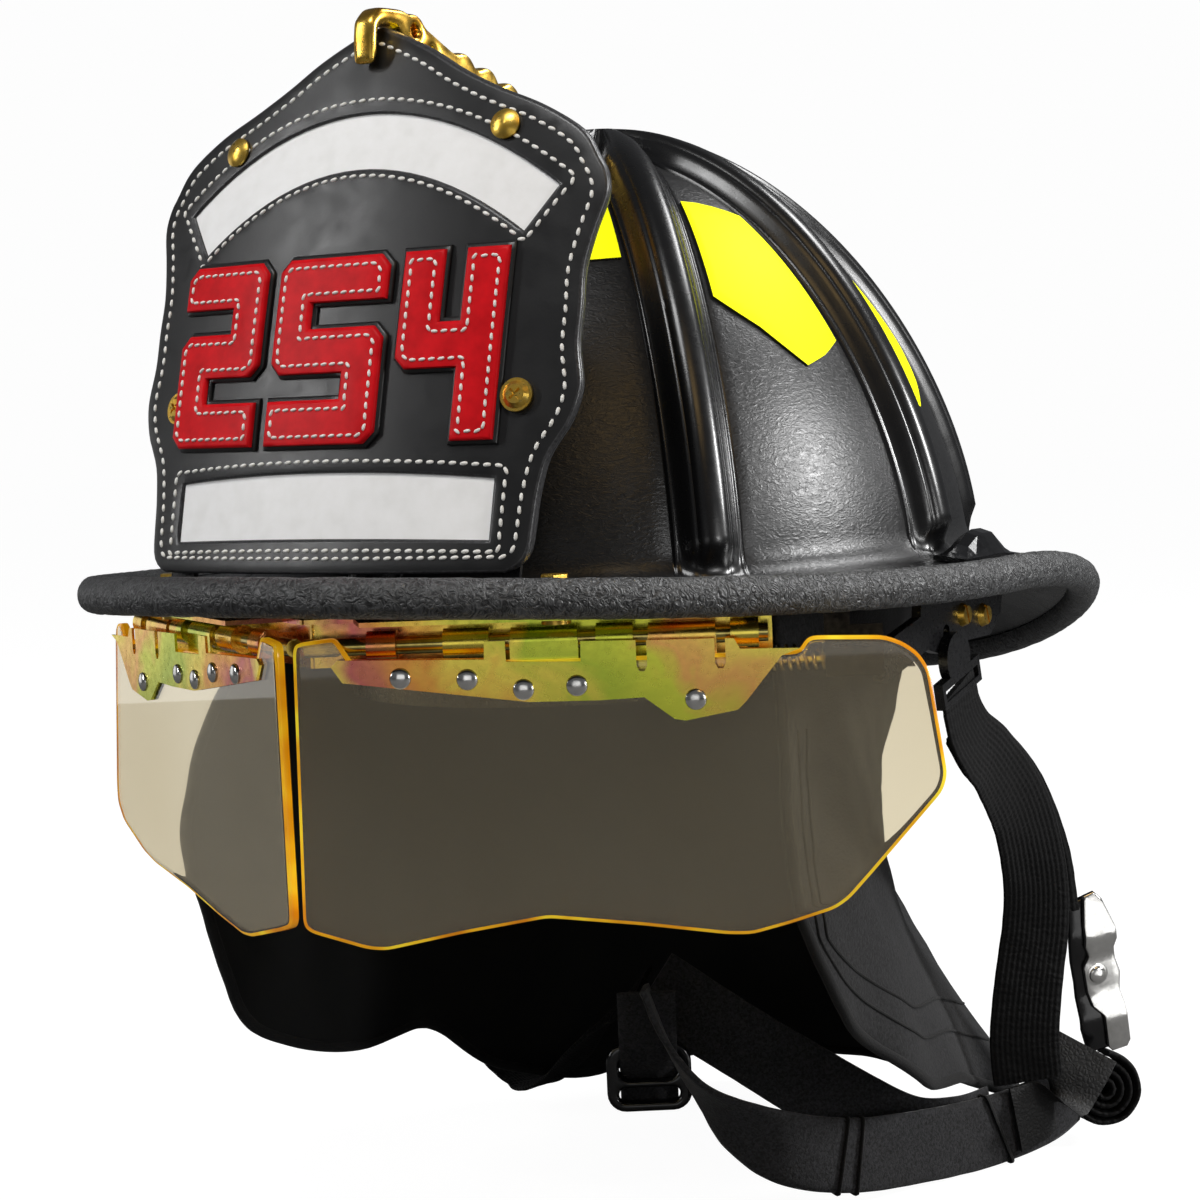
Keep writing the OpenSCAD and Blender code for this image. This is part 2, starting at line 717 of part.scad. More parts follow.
// One arm of the rail: a flange under the brim, a web behind the pins, and the fixed barrels
module rail_arm() {
    difference() {
        union() {
            translate([0, 0, rail_top - rail_wall])
                linear_extrude(rail_wall)
                    polygon([
                        [-30, pin_depth + 2], [18, pin_depth + 2], [22, -8], [84, -8], [118, 0], [rail_end, 1],
                        [rail_end - 1, rail_depth + rail_wall / 2], [-30, rail_depth + rail_wall / 2]]);
            translate([-30, rail_depth, -14])
                cube([rail_end + 30, rail_wall, 13 + rail_top]);
            for (b = barrel_spans) {
                along_pin(b, barrel_radius);
                translate([b[0], pin_depth, pin_z - 3])
                    cube([b[1] - b[0], rail_depth - pin_depth + 0.5, 6]);
            }
            translate([rail_end - 4, rail_depth, -22])
                cube([4, 22, 12]);
            translate([rail_end - 4, rail_depth, -14])
                cube([11, rail_wall, 12]);
        }
        along_pin([-30, 150], pin_radius + 0.02);
        translate([rail_end - 6, rail_depth + 18, spring_z])
            rotate([0, 90, 0])
                cylinder(h = 8, r = spring_rod_radius + 0.02, $fn = 32);
    }
}

module eyeshield_rail() {
    color("#b5942f")
    difference() {
        union()
            for (s = [-1, 1])
                intersection() {
                    eye_frame(s)
                        rail_arm();
                    translate([s > 0 ? -0.5 : -200, -220, -60])
                        cube([200.5, 300, 100]);
                }
        for (s = [-1, 1])
            translate([s * post_x, post_y, -5])
                cylinder(h = 12, r = post_radius + 0.1, $fn = 32);
    }
}

// Posts through the rail and the brim, with a spacer below the brim and a nut above it
module rail_posts() {
    color("#c39c34")
    for (s = [-1, 1])
        translate([s * post_x, post_y, 0]) {
            translate([0, 0, rail_top - rail_wall - 1.2])
                cylinder(h = 13, r = post_radius, $fn = 32);
            translate([0, 0, rail_top - rail_wall - 1.2])
                cylinder(h = 1.2, r = 4, $fn = 32);
            translate([0, 0, rail_top])
                cylinder(h = 2, r = 4, $fn = 32);
            translate([0, 0, 5.8])
                cylinder(h = 4.4, r = 4, $fn = 6);
        }
}

spring_z = -17.6;
spring_rod_radius = 1.6;
spring_depth = rail_depth + 18;
spring_end = 160;
coil_radius = 3.2;
coil_wire = 0.55;
coil_turns = 10;
coil_from = 127;
coil_to = 150;

module spring_rod() {
    color("#b08f35")
    translate([rail_end - 4, spring_depth, spring_z])
        rotate([0, 90, 0]) {
            cylinder(h = spring_end - rail_end + 4, r = spring_rod_radius, $fn = 32);
            translate([0, 0, spring_end - rail_end - 0.8])
                cylinder(h = 4, r = 3.2, $fn = 6);
        }
}

module spring_rod_left() {
    eye_frame(1)
        spring_rod();
}

module spring_rod_right() {
    eye_frame(-1)
        spring_rod();
}

// The coil is one unbroken tube of eight rings a turn
coil_steps = coil_turns * 8;
coil_pitch = (coil_to - coil_from) / coil_turns;
coil_line = [for (i = [0 : coil_steps])
    [coil_from + i * coil_pitch / 8,
     spring_depth + coil_radius * cos(i * 45),
     spring_z + coil_radius * sin(i * 45)]];
coil_least = min([for (i = [0 : 8]) for (j = [4 : 12])
    norm(coil_line[i] - coil_line[i + j]) - 2 * coil_wire]);
echo("least gap between two turns of the tension spring", coil_least);

module tension_spring() {
    color("#e0b84a")
    polyhedron(
        concat(
            [for (i = [0 : coil_steps]) each [for (k = [0 : 5])
                let (o = [0, cos(i * 45), sin(i * 45)])
                coil_line[i] + o * coil_wire * cos(k * 60) + [1, 0, 0] * coil_wire * sin(k * 60)]],
            [coil_line[0], coil_line[coil_steps]]),
        concat(
            [for (f = ring_faces(coil_steps + 1, 6)) [f[0], f[2], f[1]]],
            fan_faces(0, 6, (coil_steps + 1) * 6, true),
            fan_faces(coil_steps, 6, (coil_steps + 1) * 6 + 1, false)), 6);
}

module tension_spring_left() {
    eye_frame(1)
        tension_spring();
}

module tension_spring_right() {
    eye_frame(-1)
        tension_spring();
}

// Slotted plate that hangs from the brim and holds the outer end of the spring rod
module slotted_plate() {
    color("#c8c2ae")
    difference() {
        union() {
            translate([spring_end - 9, spring_depth - 4.4, spring_z - 5])
                cube([4, 8, 8]);
            translate([spring_end - 15, spring_depth - 4.2 - rail_wall, spring_z - 5])
                cube([16, rail_wall, 14]);
            translate([spring_end - 15, spring_depth - 4.2 - rail_wall, spring_z])
                cube([7, rail_wall, -0.8 - spring_z]);
        }
        translate([spring_end - 10, spring_depth, spring_z])
            rotate([0, 90, 0])
                cylinder(h = 8, r = spring_rod_radius + 0.02, $fn = 32);
        translate([spring_end - 12, spring_depth - 10, spring_z + 4.6])
            rotate([-90, 0, 0])
                cylinder(h = 20, r = 1.6, $fn = 32);
        translate([spring_end - 12, spring_depth - 10, spring_z + 3])
            cube([9, 20, 3.2]);
    }
}

module slotted_plate_left() {
    eye_frame(1)
        slotted_plate();
}

module slotted_plate_right() {
    eye_frame(-1)
        slotted_plate();
}

// Side clips, strap brackets and lugs
clip_rows = [
    [88, 1.6], [89.4, 2.6], [91.5, 4.4], [94, 7.6], [95.5, 8.4], [98.5, 8.4], [100, 6.4],
    [102.5, 2.6], [104, 1.6]];
clip_across = [[0.97, 0.3], [0.9, 0.8], [0.8, 1], [0.66, 0.9], [0.56, 0.45], [0.5, 0.2]];

// Plastic cover of the side clip, shaped to the brim that it lies on
module clip_cover() {
    n = len(clip_across);
    function foot(r, c) = brim_point(clip_rows[r][0], clip_across[c][0], shell_wall / 2 + seat);
    color("#1a1b1d")
    sheet(
        [for (r = [0 : len(clip_rows) - 1]) for (c = [0 : n - 1])
            foot(r, c) + [0, 0, max(1.4, clip_rows[r][1] * clip_across[c][1])]],
        [for (r = [0 : len(clip_rows) - 1]) for (c = [0 : n - 1]) foot(r, c)],
        len(clip_rows), n);
}

module clip_cover_left() {
    clip_cover();
}

module clip_cover_right() {
    mirror([1, 0, 0])
        clip_cover();
}

// Where the bracket stands, just outside the dome's foot
bracket_x = dome_half_width + 10.1;
bracket_plate = 3;
bracket_outline = [
    [-12, -0.9], [8, -1], [40, -2.1], [44, -8], [42, -16], [34, -22], [18, -22], [8, -25], [-2, -24],
    [-10, -22], [-40, -29], [-41, -18], [-14, -12]];

// Bracket under the brim that the chin strap's lug hangs from
module strap_bracket() {
    color("#151618")
    translate([bracket_x, 0, 0])
        rotate([90, 0, 90])
            linear_extrude(bracket_plate)
                difference() {
                    offset(r = 1.5)
                        offset(delta = -1.5)
                            polygon(bracket_outline);
                    translate([3, -18])
                        circle(r = 2.2, $fn = 32);
                }
}

module strap_bracket_left() {
    strap_bracket();
}

module strap_bracket_right() {
    mirror([1, 0, 0])
        strap_bracket();
}

// Brass screws of the bracket, with one slot each
module bracket_screws() {
    color("#c9a23c")
    for (p = [[14.5, -14], [28.7, -15.4]])
        translate([bracket_x + bracket_plate, p[0], p[1]])
            rotate([0, 90, 0])
                difference() {
                    cylinder(h = 1.8, r1 = 3.6, r2 = 2.8, $fn = 32);
                    rotate([0, 0, 20])
                        translate([-4, -0.4, 1.1])
                            cube([8, 0.8, 2]);
                }
}

module bracket_screws_left() {
    bracket_screws();
}

module bracket_screws_right() {
    mirror([1, 0, 0])
        bracket_screws();
}

// The lug's turning point on the bracket, and the slant of its loop
lug_y = 4;
lug_z = -26;
lug_slant = 14;

module strap_lug() {
    color("#0f0f11")
    translate([bracket_x + bracket_plate + seat, lug_y, lug_z])
        rotate([lug_slant, 0, 0])
            difference() {
                union() {
                    rotate([0, 90, 0])
                        cylinder(h = 3, r = 8, $fn = 40);
                    translate([0, -strap_width / 2 - 1.8, -11.6])
                        cube([3, strap_width + 3.6, 8]);
                }
                translate([-1, -strap_width / 2, -9.6])
                    cube([5, strap_width, 3.4]);
            }
}

module strap_lug_left() {
    strap_lug();
}

module strap_lug_right() {
    mirror([1, 0, 0])
        strap_lug();
}

// Ear and neck cover: one padded cloth that hangs from the cap round the sides and the back.
// Each column gives its angle at the top, then its points at the headband, half way down and at the hem
cover_thick = 2.4;
// Room between the shell's foot and the cover's upper edge at the sides
cover_room = 13.5;
cover_side = dome_half_width - cover_room;
// Reach of the upper edge that the points of the cover were laid out for
cover_reach = 91;
cover_front = 100;
cover_back = 129;
cover_top = 5.2;
cover_net = [
    [62, [85, -40, -38], [86, -40, -72], [86, -34, -100]],
    [72, [85, -23, -38], [86, -23, -80], [88, -17, -130]],
    [85, [84, 2, -40], [85, 2, -90], [90, 4, -147]],
    [98, [79, 27, -46], [80, 26, -98], [95, 30, -163]],
    [112, [71, 51, -52], [71, 50, -100], [89, 65, -171]],
    [125, [57, 81, -54], [51, 80, -104], [91, 105, -186]],
    [140, [43, 112, -56], [32, 106, -108], [62, 129, -189]],
    [158, [24, 132, -56], [15, 119, -108], [30, 143, -190]],
    [180, [0, 137, -54], [0, 124, -108], [0, 147, -190]],
    [202, [-24, 132, -56], [-18, 120, -106], [-28, 138, -189]],
    [220, [-47, 111, -54], [-46, 104, -104], [-56, 118, -190]],
    [235, [-65, 81, -50], [-68, 78, -102], [-78, 84, -191]],
    [248, [-79, 54, -48], [-82, 52, -98], [-90, 50, -180]],
    [262, [-86, 26, -48], [-90, 24, -95], [-94, 20, -160]],
    [275, [-90, -4, -46], [-95, -10, -90], [-98, -14, -160]],
    [288, [-92, -34, -44], [-97, -44, -88], [-99, -50, -150]],
    [300, [-92, -58, -42], [-97, -72, -86], [-97, -77, -133]],
    [310, [-92, -78, -32], [-97, -92, -66], [-97, -93, -92]]];
cover_cuts = 2;
cover_rows = 3;

function cover_edge(a) = [
    cover_side * sin(a), dome_y - (cos(a) > 0 ? cover_front : cover_back) * cos(a), cover_top];
function cover_wide(p) = [p[0] * cover_side / cover_reach, p[1], p[2]];
function cover_column(i) = [
    cover_edge(cover_net[i][0]), each [for (k = [1 : 3]) cover_wide(cover_net[i][k])]];
// Smooth curve down each column, then round from column to column
function cover_down(i) = route_points([for (q = cover_column(i)) [q]], 0, cover_rows);
cover_count = len(cover_net);
cover_lines = [for (i = [0 : cover_count - 1]) cover_down(i)];
cover_grid = [for (r = [0 : len(cover_lines[0]) - 1])
    route_points([for (i = [0 : cover_count - 1]) [cover_lines[i][r]]], 0, cover_cuts)];

function cover_normal(r, i) =
    let (last = len(cover_grid) - 1, n = len(cover_grid[0]) - 1)
    unit(cross(cover_grid[min(r + 1, last)][i] - cover_grid[max(r - 1, 0)][i],
               cover_grid[r][min(i + 1, n)] - cover_grid[r][max(i - 1, 0)]));

module ear_cover() {
    rows = len(cover_grid);
    n = len(cover_grid[0]);
    color("#101012")
    sheet(
        [for (r = [0 : rows - 1]) for (i = [n - 1 : -1 : 0])
            cover_grid[r][i] + cover_normal(r, i) * cover_thick / 2],
        [for (r = [0 : rows - 1]) for (i = [n - 1 : -1 : 0])
            cover_grid[r][i] - cover_normal(r, i) * cover_thick / 2],
        rows, n);
}

// Chin strap: flat bands swept along routes of [point, direction of the width]
function blend(a, b, c, d, t) =
    0.5 * (2 * b + (c - a) * t + (2 * a - 5 * b + 4 * c - d) * t * t + (3 * b - a - 3 * c + d) * t * t * t);
function route_at(route, k, i, t) =
    let (n = len(route) - 1)
    blend(route[max(i - 1, 0)][k], route[i][k], route[min(i + 1, n)][k], route[min(i + 2, n)][k], t);
function route_points(route, k, cuts) = concat(
    [for (i = [0 : len(route) - 2]) for (c = [0 : cuts - 1]) route_at(route, k, i, c / cuts)],
    [route[len(route) - 1][k]]);

module band(route, wide, thick, cuts = 3) {
    p = route_points(route, 0, cuts);
    w = route_points(route, 1, cuts);
    last = len(p) - 1;
    tangent = [for (i = [0 : last]) unit(p[min(i + 1, last)] - p[max(i - 1, 0)])];
    side = [for (i = [0 : last]) unit(w[i] - tangent[i] * (w[i] * tangent[i]))];
    face = [for (i = [0 : last]) cross(tangent[i], side[i])];
    front = [for (i = [0 : last]) for (c = [1, 0.33, -0.33, -1])
        p[i] + side[i] * c * wide / 2 + face[i] * thick * (abs(c) == 1 ? 0.36 : 0.5)];
    back = [for (i = [0 : last]) for (c = [1, 0.33, -0.33, -1])
        p[i] + side[i] * c * wide / 2 - face[i] * thick * (abs(c) == 1 ? 0.36 : 0.5)];
    sheet(front, back, last + 1, 4);
}

webbing_start = [
    [bracket_x + bracket_plate + seat + 1.5, lug_y + 12.4 * sin(lug_slant), lug_z - 12.4 * cos(lug_slant)],
    [0, cos(lug_slant), sin(lug_slant)]];
webbing_route = [
    webbing_start, [[119.4, 9.4, -45], [0, 0.95, 0.3]], [[119, 19, -54], [0, 0.85, 0.5]],
    [[118.5, 32, -62], [0.15, 0.8, 0.55]],
    [[115.5, 56.5, -80.3], [0.4, 0.8, 0.4]], [[112.5, 72.5, -102.7], [0.6, 0.8, 0.2]],
    [[109.5, 79, -120.8], [0.7, 0.7, 0.1]], [[106, 79.5, -142], [0.75, 0.65, 0]],
    [[103.8, 80, -160], [0.78, 0.6, -0.1]], [[103.4, 82.6, -174.7], [0.78, 0.6, 0]]];
band_route = [
    [[110.5, 98, -183], [0, 0, 1]], [[106, 88, -186], [0, 0, 1]], [[96, 71, -189], [0, 0, 1]],
    [[86, 44, -188], [0, 0, 1]], [[74, 15, -185], [0, 0, 1]],
    [[62, -5, -179], [0.1, -0.1, 1]], [[48, -14, -170], [0.3, -0.4, 0.8]], [[36, -17, -159], [0.5, -0.7, 0.4]],
    [[26, -18, -145], [0.5, -0.8, 0.2]], [[20, -19, -129], [0.5, -0.85, 0]]];
inner_route = [
    [[93, 73.7, -187.5], [0, 0, 1]], [[88.3, 59.7, -186.5], [0, 0, 1]], [[76, 50, -181], [0, 0, 1]],
    [[60, 42, -170], [0, 0, 1]], [[38, 30, -156], [0.1, 0, 1]], [[13, 21, -143], [0.2, 0.1, 1]],
    [[2, 14, -136], [0.3, 0.3, 0.9]]];
far_route = [
    [[-webbing_start[0][0], webbing_start[0][1], webbing_start[0][2]], webbing_start[1]],
    [[-119.4, 9.4, -45], [0, 1, 0.25]], [[-118, 16, -60], [0, 1, 0.2]],
    [[-116, 30, -90], [0, 1, 0.3]], [[-112, 52, -132], [0, 1, 0.2]],
    [[-106, 67, -172], [0, 1, 0]], [[-90, 73, -193], [0, 1, -0.1]], [[-66, 60, -183], [0, 1, 0]],
    [[-40, 36, -165], [0.05, 0.95, 0.15]], [[-20, 20, -151], [0.1, 0.9, 0.3]],
    [[-2.7, 14.4, -138.7], [0.3, 0.6, 0.7]]];
tail_route = [
    [[121.3, 106, -170.4], [0.75, 0.65, 0]], [[121, 108, -180], [0.75, 0.65, 0]],
    [[118, 115, -190.5], [0.75, 0.65, 0]], [[112, 124, -190], [0.75, 0.65, 0]],
    [[109, 130, -179], [0.75, 0.65, 0]]];

module chin_webbing() {
    color("#161618")
    band(webbing_route, strap_width, 2.2);
}

module chin_band() {
    color("#1c1c1e")
    band(band_route, strap_width + 0.5, 2.6);
}

module chin_inner_band() {
    color("#1a1a1c")
    band(inner_route, strap_width - 4, 2);
}

module chin_webbing_far() {
    color("#161618")
    band(far_route, strap_width - 1, 2);
}

module chin_tail() {
    color("#161618")
    band(tail_route, strap_width - 2, 2.2);
}

// Metal slide that adjusts the near webbing
module strap_slide() {
    color("#d8d9db")
    translate([121.3, 100, -140])
        rotate([14, 0, 0])
            rotate([0, 0, 48])
                difference() {
                    union() {
                        hull()
                            for (p = [[-5, -28], [5, -28], [6.5, 26], [-6.5, 26]])
                                translate([p[0], 0, p[1]])
                                    rotate([90, 0, 0])
                                        cylinder(h = 1.6, r = 2, center = true, $fn = 24);
                        rotate([90, 0, 0])
                            cylinder(h = 3, r = 3.4, center = true, $fn = 32);
                    }
                    for (z = [-22, 18])
                        translate([-5, -3, z])
                            cube([10, 6, 4.4]);
                }
}

// Moulded ring at the far end of the band
module strap_ring() {
    color("#0c0c0e")
    translate([14.3, -9.4, -160])
        rotate([0, 0, 33])
            rotate([90, 0, 0])
                linear_extrude(4, center = true)
                    difference() {
                        offset(r = 6)
                            square([15, 10], center = true);
                        offset(r = 2.2)
                            square([13, 0.6], center = true);
                    }
}

shell();
brim_bead();
reflective_patches();
impact_cap();
headband();
brow_pad();
crown_straps();
strap_keys();
ratchet_housing();
ratchet_knob();
front_shield();
shield_fasteners();
shield_tabs();
front_holder();
eyeshield_rail();
rail_posts();
hinge_pin_left();
hinge_pin_right();
lens_left();
lens_right();
outer_plate_left();
outer_plate_right();
inner_plate_left();
inner_plate_right();
plate_rivets_left();
plate_rivets_right();
spring_rod_left();
spring_rod_right();
tension_spring_left();
tension_spring_right();
slotted_plate_left();
slotted_plate_right();
clip_cover_left();
clip_cover_right();
strap_bracket_left();
strap_bracket_right();
bracket_screws_left();
bracket_screws_right();
strap_lug_left();
strap_lug_right();
ear_cover();
chin_webbing();
chin_band();
chin_inner_band();
chin_webbing_far();
chin_tail();
strap_slide();
strap_ring();
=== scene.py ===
"""Looks of the traditional ribbed fire helmet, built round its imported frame.

Sizes are in millimetres until a mesh is made. The front faces -Y and the wearer's left is +X.
"""
from collections import namedtuple
import math

import bmesh
import bpy
import numpy as np
from mathutils import Matrix, Vector
from mathutils.geometry import delaunay_2d_cdt


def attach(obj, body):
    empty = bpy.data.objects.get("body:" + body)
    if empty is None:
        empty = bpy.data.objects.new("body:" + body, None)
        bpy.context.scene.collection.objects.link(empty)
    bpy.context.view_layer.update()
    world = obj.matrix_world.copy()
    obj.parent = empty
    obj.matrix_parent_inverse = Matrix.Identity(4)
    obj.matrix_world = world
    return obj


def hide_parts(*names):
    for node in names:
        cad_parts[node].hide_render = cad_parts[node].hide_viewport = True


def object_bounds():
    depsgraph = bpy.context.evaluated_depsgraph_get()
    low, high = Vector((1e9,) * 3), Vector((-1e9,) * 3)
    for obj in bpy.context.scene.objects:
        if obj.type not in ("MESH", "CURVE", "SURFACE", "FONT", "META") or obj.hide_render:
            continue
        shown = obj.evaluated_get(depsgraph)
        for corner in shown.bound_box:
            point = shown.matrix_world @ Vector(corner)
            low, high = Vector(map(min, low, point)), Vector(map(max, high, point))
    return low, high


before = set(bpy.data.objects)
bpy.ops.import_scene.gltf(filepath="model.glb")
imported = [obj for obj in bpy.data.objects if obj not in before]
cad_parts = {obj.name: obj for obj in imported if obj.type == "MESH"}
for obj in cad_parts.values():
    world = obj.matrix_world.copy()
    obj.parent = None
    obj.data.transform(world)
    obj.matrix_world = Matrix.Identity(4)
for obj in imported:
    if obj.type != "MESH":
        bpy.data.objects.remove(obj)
cad_low, cad_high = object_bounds()
scene = bpy.context.scene
MM = 0.001

# ---- Sizes of the helmet, the same as the frame's ----
DOME_HALF_WIDTH = 104.5
DOME_FRONT = 129.5
DOME_BACK = 136
DOME_HEIGHT = 129
DOME_Y = 9.65
# Powers that make the dome a little more pointed than an ellipse, and its mean radius
DOME_ROUND = 1.03
DOME_CROWN = 1.235
DOME_MEAN = 115
FOOT_Z = 3
FOOT_DROP = 9
FOOT_REACH = 8
RIB_HEIGHT = 8.5
RIB_WIDTH = 22
# Half a rib takes no more than this share of the way to the next rib
RIB_SHARE = 0.46
SHELL_WALL = 3.2
# Ribs stand at these angles round the dome, from the front over the wearer's left
RIB_ANGLES = [0, 51, 94, 137, 180, 223, 266, 309]
RIB_COUNT = len(RIB_ANGLES)
BRIM_HALF_WIDTH = 140.5
BRIM_FRONT = 179.5
BRIM_BACK = 196.5
BRIM_DROP = 47
FRONT_RISE = 8.2
SIDE_Z = -0.3
BEAD_RADIUS = 5.5
# The bead's slot for the brim: half its width, and how far out of the bead's middle it ends
BEAD_SLOT = 1.92
BEAD_FIT = 0.32
# Gap between two parts that lie on each other
SEAT = 0.3
LENS_APEX = 161
LENS_ANGLE = 28.5
LENS_THICK = 3
SHIELD_BASE = 11.5
SHIELD_HEIGHT = 151
SHIELD_HALF = 78
SHIELD_LEATHER = 4.5
SHIELD_RADIUS = 280
# The shield leans back: its slope, its place in front at height 0, and the sweep that takes its top back
SHIELD_SLOPE = 0.2264
SHIELD_FOOT = 150.2
SHIELD_SWEEP = 744
STRAP_WIDTH = 23


# ---- Small tools ----
def sind(angle):
    return np.sin(np.radians(angle))


def cosd(angle):
    return np.cos(np.radians(angle))


def unit(vectors):
    """Vectors of length 1, along the last axis."""
    vectors = np.asarray(vectors, float)
    return vectors / np.maximum(np.linalg.norm(vectors, axis=-1, keepdims=True), 1e-9)


def spline(points, cuts):
    """The smooth line of the frame's routes, through every point, with cuts steps to each stretch."""
    points = np.asarray(points, float)
    last = len(points) - 1
    line = []
    for i in range(last):
        a, b, c, d = points[max(i - 1, 0)], points[i], points[i + 1], points[min(i + 2, last)]
        for step in range(cuts):
            t = step / cuts
            line.append(0.5 * (2 * b + (c - a) * t + (2 * a - 5 * b + 4 * c - d) * t * t
                               + (3 * b - a - 3 * c + d) * t ** 3))
    line.append(points[last])
    return np.array(line)


def even_steps(line, spacing, closed=False):
    """Points along a line, about spacing apart."""
    line = np.asarray(line, float)
    if closed:
        line = np.vstack([line, line[:1]])
    run = np.concatenate([[0], np.cumsum(np.linalg.norm(np.diff(line, axis=0), axis=1))])
    count = max(int(round(run[-1] / spacing)), 2)
    places = np.linspace(0, run[-1], count + 1)
    if closed:
        places = places[:-1]
    return np.stack([np.interp(places, run, line[:, k]) for k in range(line.shape[1])], axis=-1)


def ripple(points, size, seed):
    """A smooth, seeded, uneven value between about -1 and 1 for each point, with waves about size wide."""
    rng = np.random.default_rng(seed)
    total = np.zeros(len(points))
    for _ in range(7):
        way = rng.normal(size=3)
        way *= 2 * math.pi / (size * (0.7 + 0.6 * rng.random())) / np.linalg.norm(way)
        total += np.sin(np.asarray(points) @ way + rng.random() * 2 * math.pi)
    return total / 3.5


# ---- Meshes ----
def make_piece(name, points, faces, material, sharp=38, kinds=None, flat_map=None):
    """One closed piece from points in millimetres, with each face's kind of material and each point's UV."""
    mesh = bpy.data.meshes.new(name)
    mesh.from_pydata((np.asarray(points, float) * MM).tolist(), [], [list(map(int, f)) for f in faces])
    materials = material if isinstance(material, (list, tuple)) else [material]
    for one in materials:
        mesh.materials.append(one)
    if kinds is not None:
        mesh.polygons.foreach_set("material_index", np.asarray(kinds, dtype=np.int32))
    if flat_map is not None:
        layer = mesh.uv_layers.new(name="cloth_map")
        places = np.asarray(flat_map)[[loop.vertex_index for loop in mesh.loops]]
        layer.data.foreach_set("uv", places.astype(np.float32).ravel())
    work = bmesh.new()
    work.from_mesh(mesh)
    bmesh.ops.recalc_face_normals(work, faces=work.faces)
    work.to_mesh(mesh)
    work.free()
    mesh.shade_smooth()
    mesh.set_sharp_from_angle(angle=math.radians(sharp))
    piece = bpy.data.objects.new(name, mesh)
    scene.collection.objects.link(piece)
    return piece


def sheet_skin(front, back):
    """Points and faces of a closed skin over two grids of points that meet along their edges."""
    rows, cols = front.shape[:2]
    count = rows * cols
    at = np.arange(count).reshape(rows, cols)
    quads = [(at[r, c], at[r, c + 1], at[r + 1, c + 1], at[r + 1, c])
             for r in range(rows - 1) for c in range(cols - 1)]
    faces = quads + [tuple(count + v for v in reversed(q)) for q in quads]
    rim = list(at[0, :-1]) + list(at[:-1, -1]) + list(at[-1, :0:-1]) + list(at[:0:-1, 0])
    for a, b in zip(rim, rim[1:] + rim[:1]):
        faces.append((b, a, a + count, b + count))
    return np.vstack([front.reshape(-1, 3), back.reshape(-1, 3)]), faces


def loft(rings, wrap=False):
    """Points and faces of a skin through closed rings. Fans close its ends, or wrap joins them."""
    rings = [np.asarray(r, float) for r in rings]
    n = len(rings[0])
    points = np.vstack(rings)
    faces = []
    count = len(rings)
    for i in range(count if wrap else count - 1):
        a, b = i * n, (i + 1) % count * n
        faces += [(a + j, a + (j + 1) % n, b + (j + 1) % n, b + j) for j in range(n)]
    if not wrap:
        for ring, base in ((rings[0], 0), (rings[-1], (count - 1) * n)):
            points = np.vstack([points, ring.mean(axis=0)])
            middle = len(points) - 1
            faces += [(base + j, base + (j + 1) % n, middle) for j in range(n)]
    return points, faces


def turned(outline, sides=32):
    """Points and faces of a part turned about Z. The outline lists radius and height, from axis to axis."""
    rings = [[(r * math.cos(2 * math.pi * k / sides), r * math.sin(2 * math.pi * k / sides), z)
              for k in range(sides)] for r, z in outline]
    return loft(rings)


def along(line, section, closed=False, up=(0, 0, 1)):
    """A section of (side, up) points swept along a line without twisting."""
    line = np.asarray(line, float)
    ahead = np.roll(line, -1, axis=0) if closed else np.vstack([line[1:], 2 * line[-1] - line[-2]])
    behind = np.roll(line, 1, axis=0) if closed else np.vstack([2 * line[0] - line[1], line[:-1]])
    way = unit(ahead - behind)
    rings = []
    side = None
    for p, t in zip(line, way):
        if side is None:
            side = np.cross(t, up)
            if np.linalg.norm(side) < 1e-3:
                side = np.cross(t, (1, 0, 0))
        side = unit(side - t * (side @ t))
        top = np.cross(side, t)
        rings.append([p + side * s + top * h for s, h in section])
    return loft(rings, wrap=closed)


def circle(radius, sides=12):
    return [(radius * math.cos(2 * math.pi * k / sides), radius * math.sin(2 * math.pi * k / sides))
            for k in range(sides)]


def joined(parts):
    """Many skins as one: a list of (points, faces)."""
    points, faces, base = [], [], 0
    for p, f in parts:
        points.append(np.asarray(p, float))
        faces += [tuple(v + base for v in face) for face in f]
        base += len(p)
    return np.vstack(points), faces


def moved(part, origin, x_axis, y_axis, z_axis):
    """A skin carried from its own axes to a place and direction of the helmet."""
    points, faces = part
    turn = np.array([x_axis, y_axis, z_axis], float)
    return np.asarray(points) @ turn + np.asarray(origin, float), faces


def fit(piece, slot, *nodes, body="helmet"):
    """Fastens a piece to its body and hides the frame nodes that it stands for. slot, the name of its finish,
    is not used.
    """
    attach(piece, body)
    if nodes:
        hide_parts(*nodes)
    return piece


def dress(name, material, edge=0.25):
    """A frame node that stays in view gets its finish and softly broken edges."""
    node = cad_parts[name]
    node.data.materials.clear()
    node.data.materials.append(material)
    if edge:
        rounding = node.modifiers.new("broken_edges", "BEVEL")
        rounding.width = edge * MM
        rounding.segments = 2
        rounding.limit_method = "ANGLE"
        rounding.angle_limit = math.radians(34)
        rounding.harden_normals = True
        rounding.use_clamp_overlap = True
    return node


# ---- Flat outlines cut to shape ----
def inset(loop, distance):
    """A loop moved towards its left side, with mitred corners."""
    loop = np.asarray(loop, float)
    e1 = unit(loop - np.roll(loop, 1, axis=0))
    e2 = unit(np.roll(loop, -1, axis=0) - loop)
    n1 = np.stack([-e1[:, 1], e1[:, 0]], axis=-1)
    n2 = np.stack([-e2[:, 1], e2[:, 0]], axis=-1)
    share = np.maximum(1 + (n1 * n2).sum(axis=1), 0.35)
    return loop + (n1 + n2) / share[:, None] * distance


def loop_area(loop):
    x, y = np.asarray(loop, float).T
    return 0.5 * (x * np.roll(y, -1) - y * np.roll(x, -1)).sum()


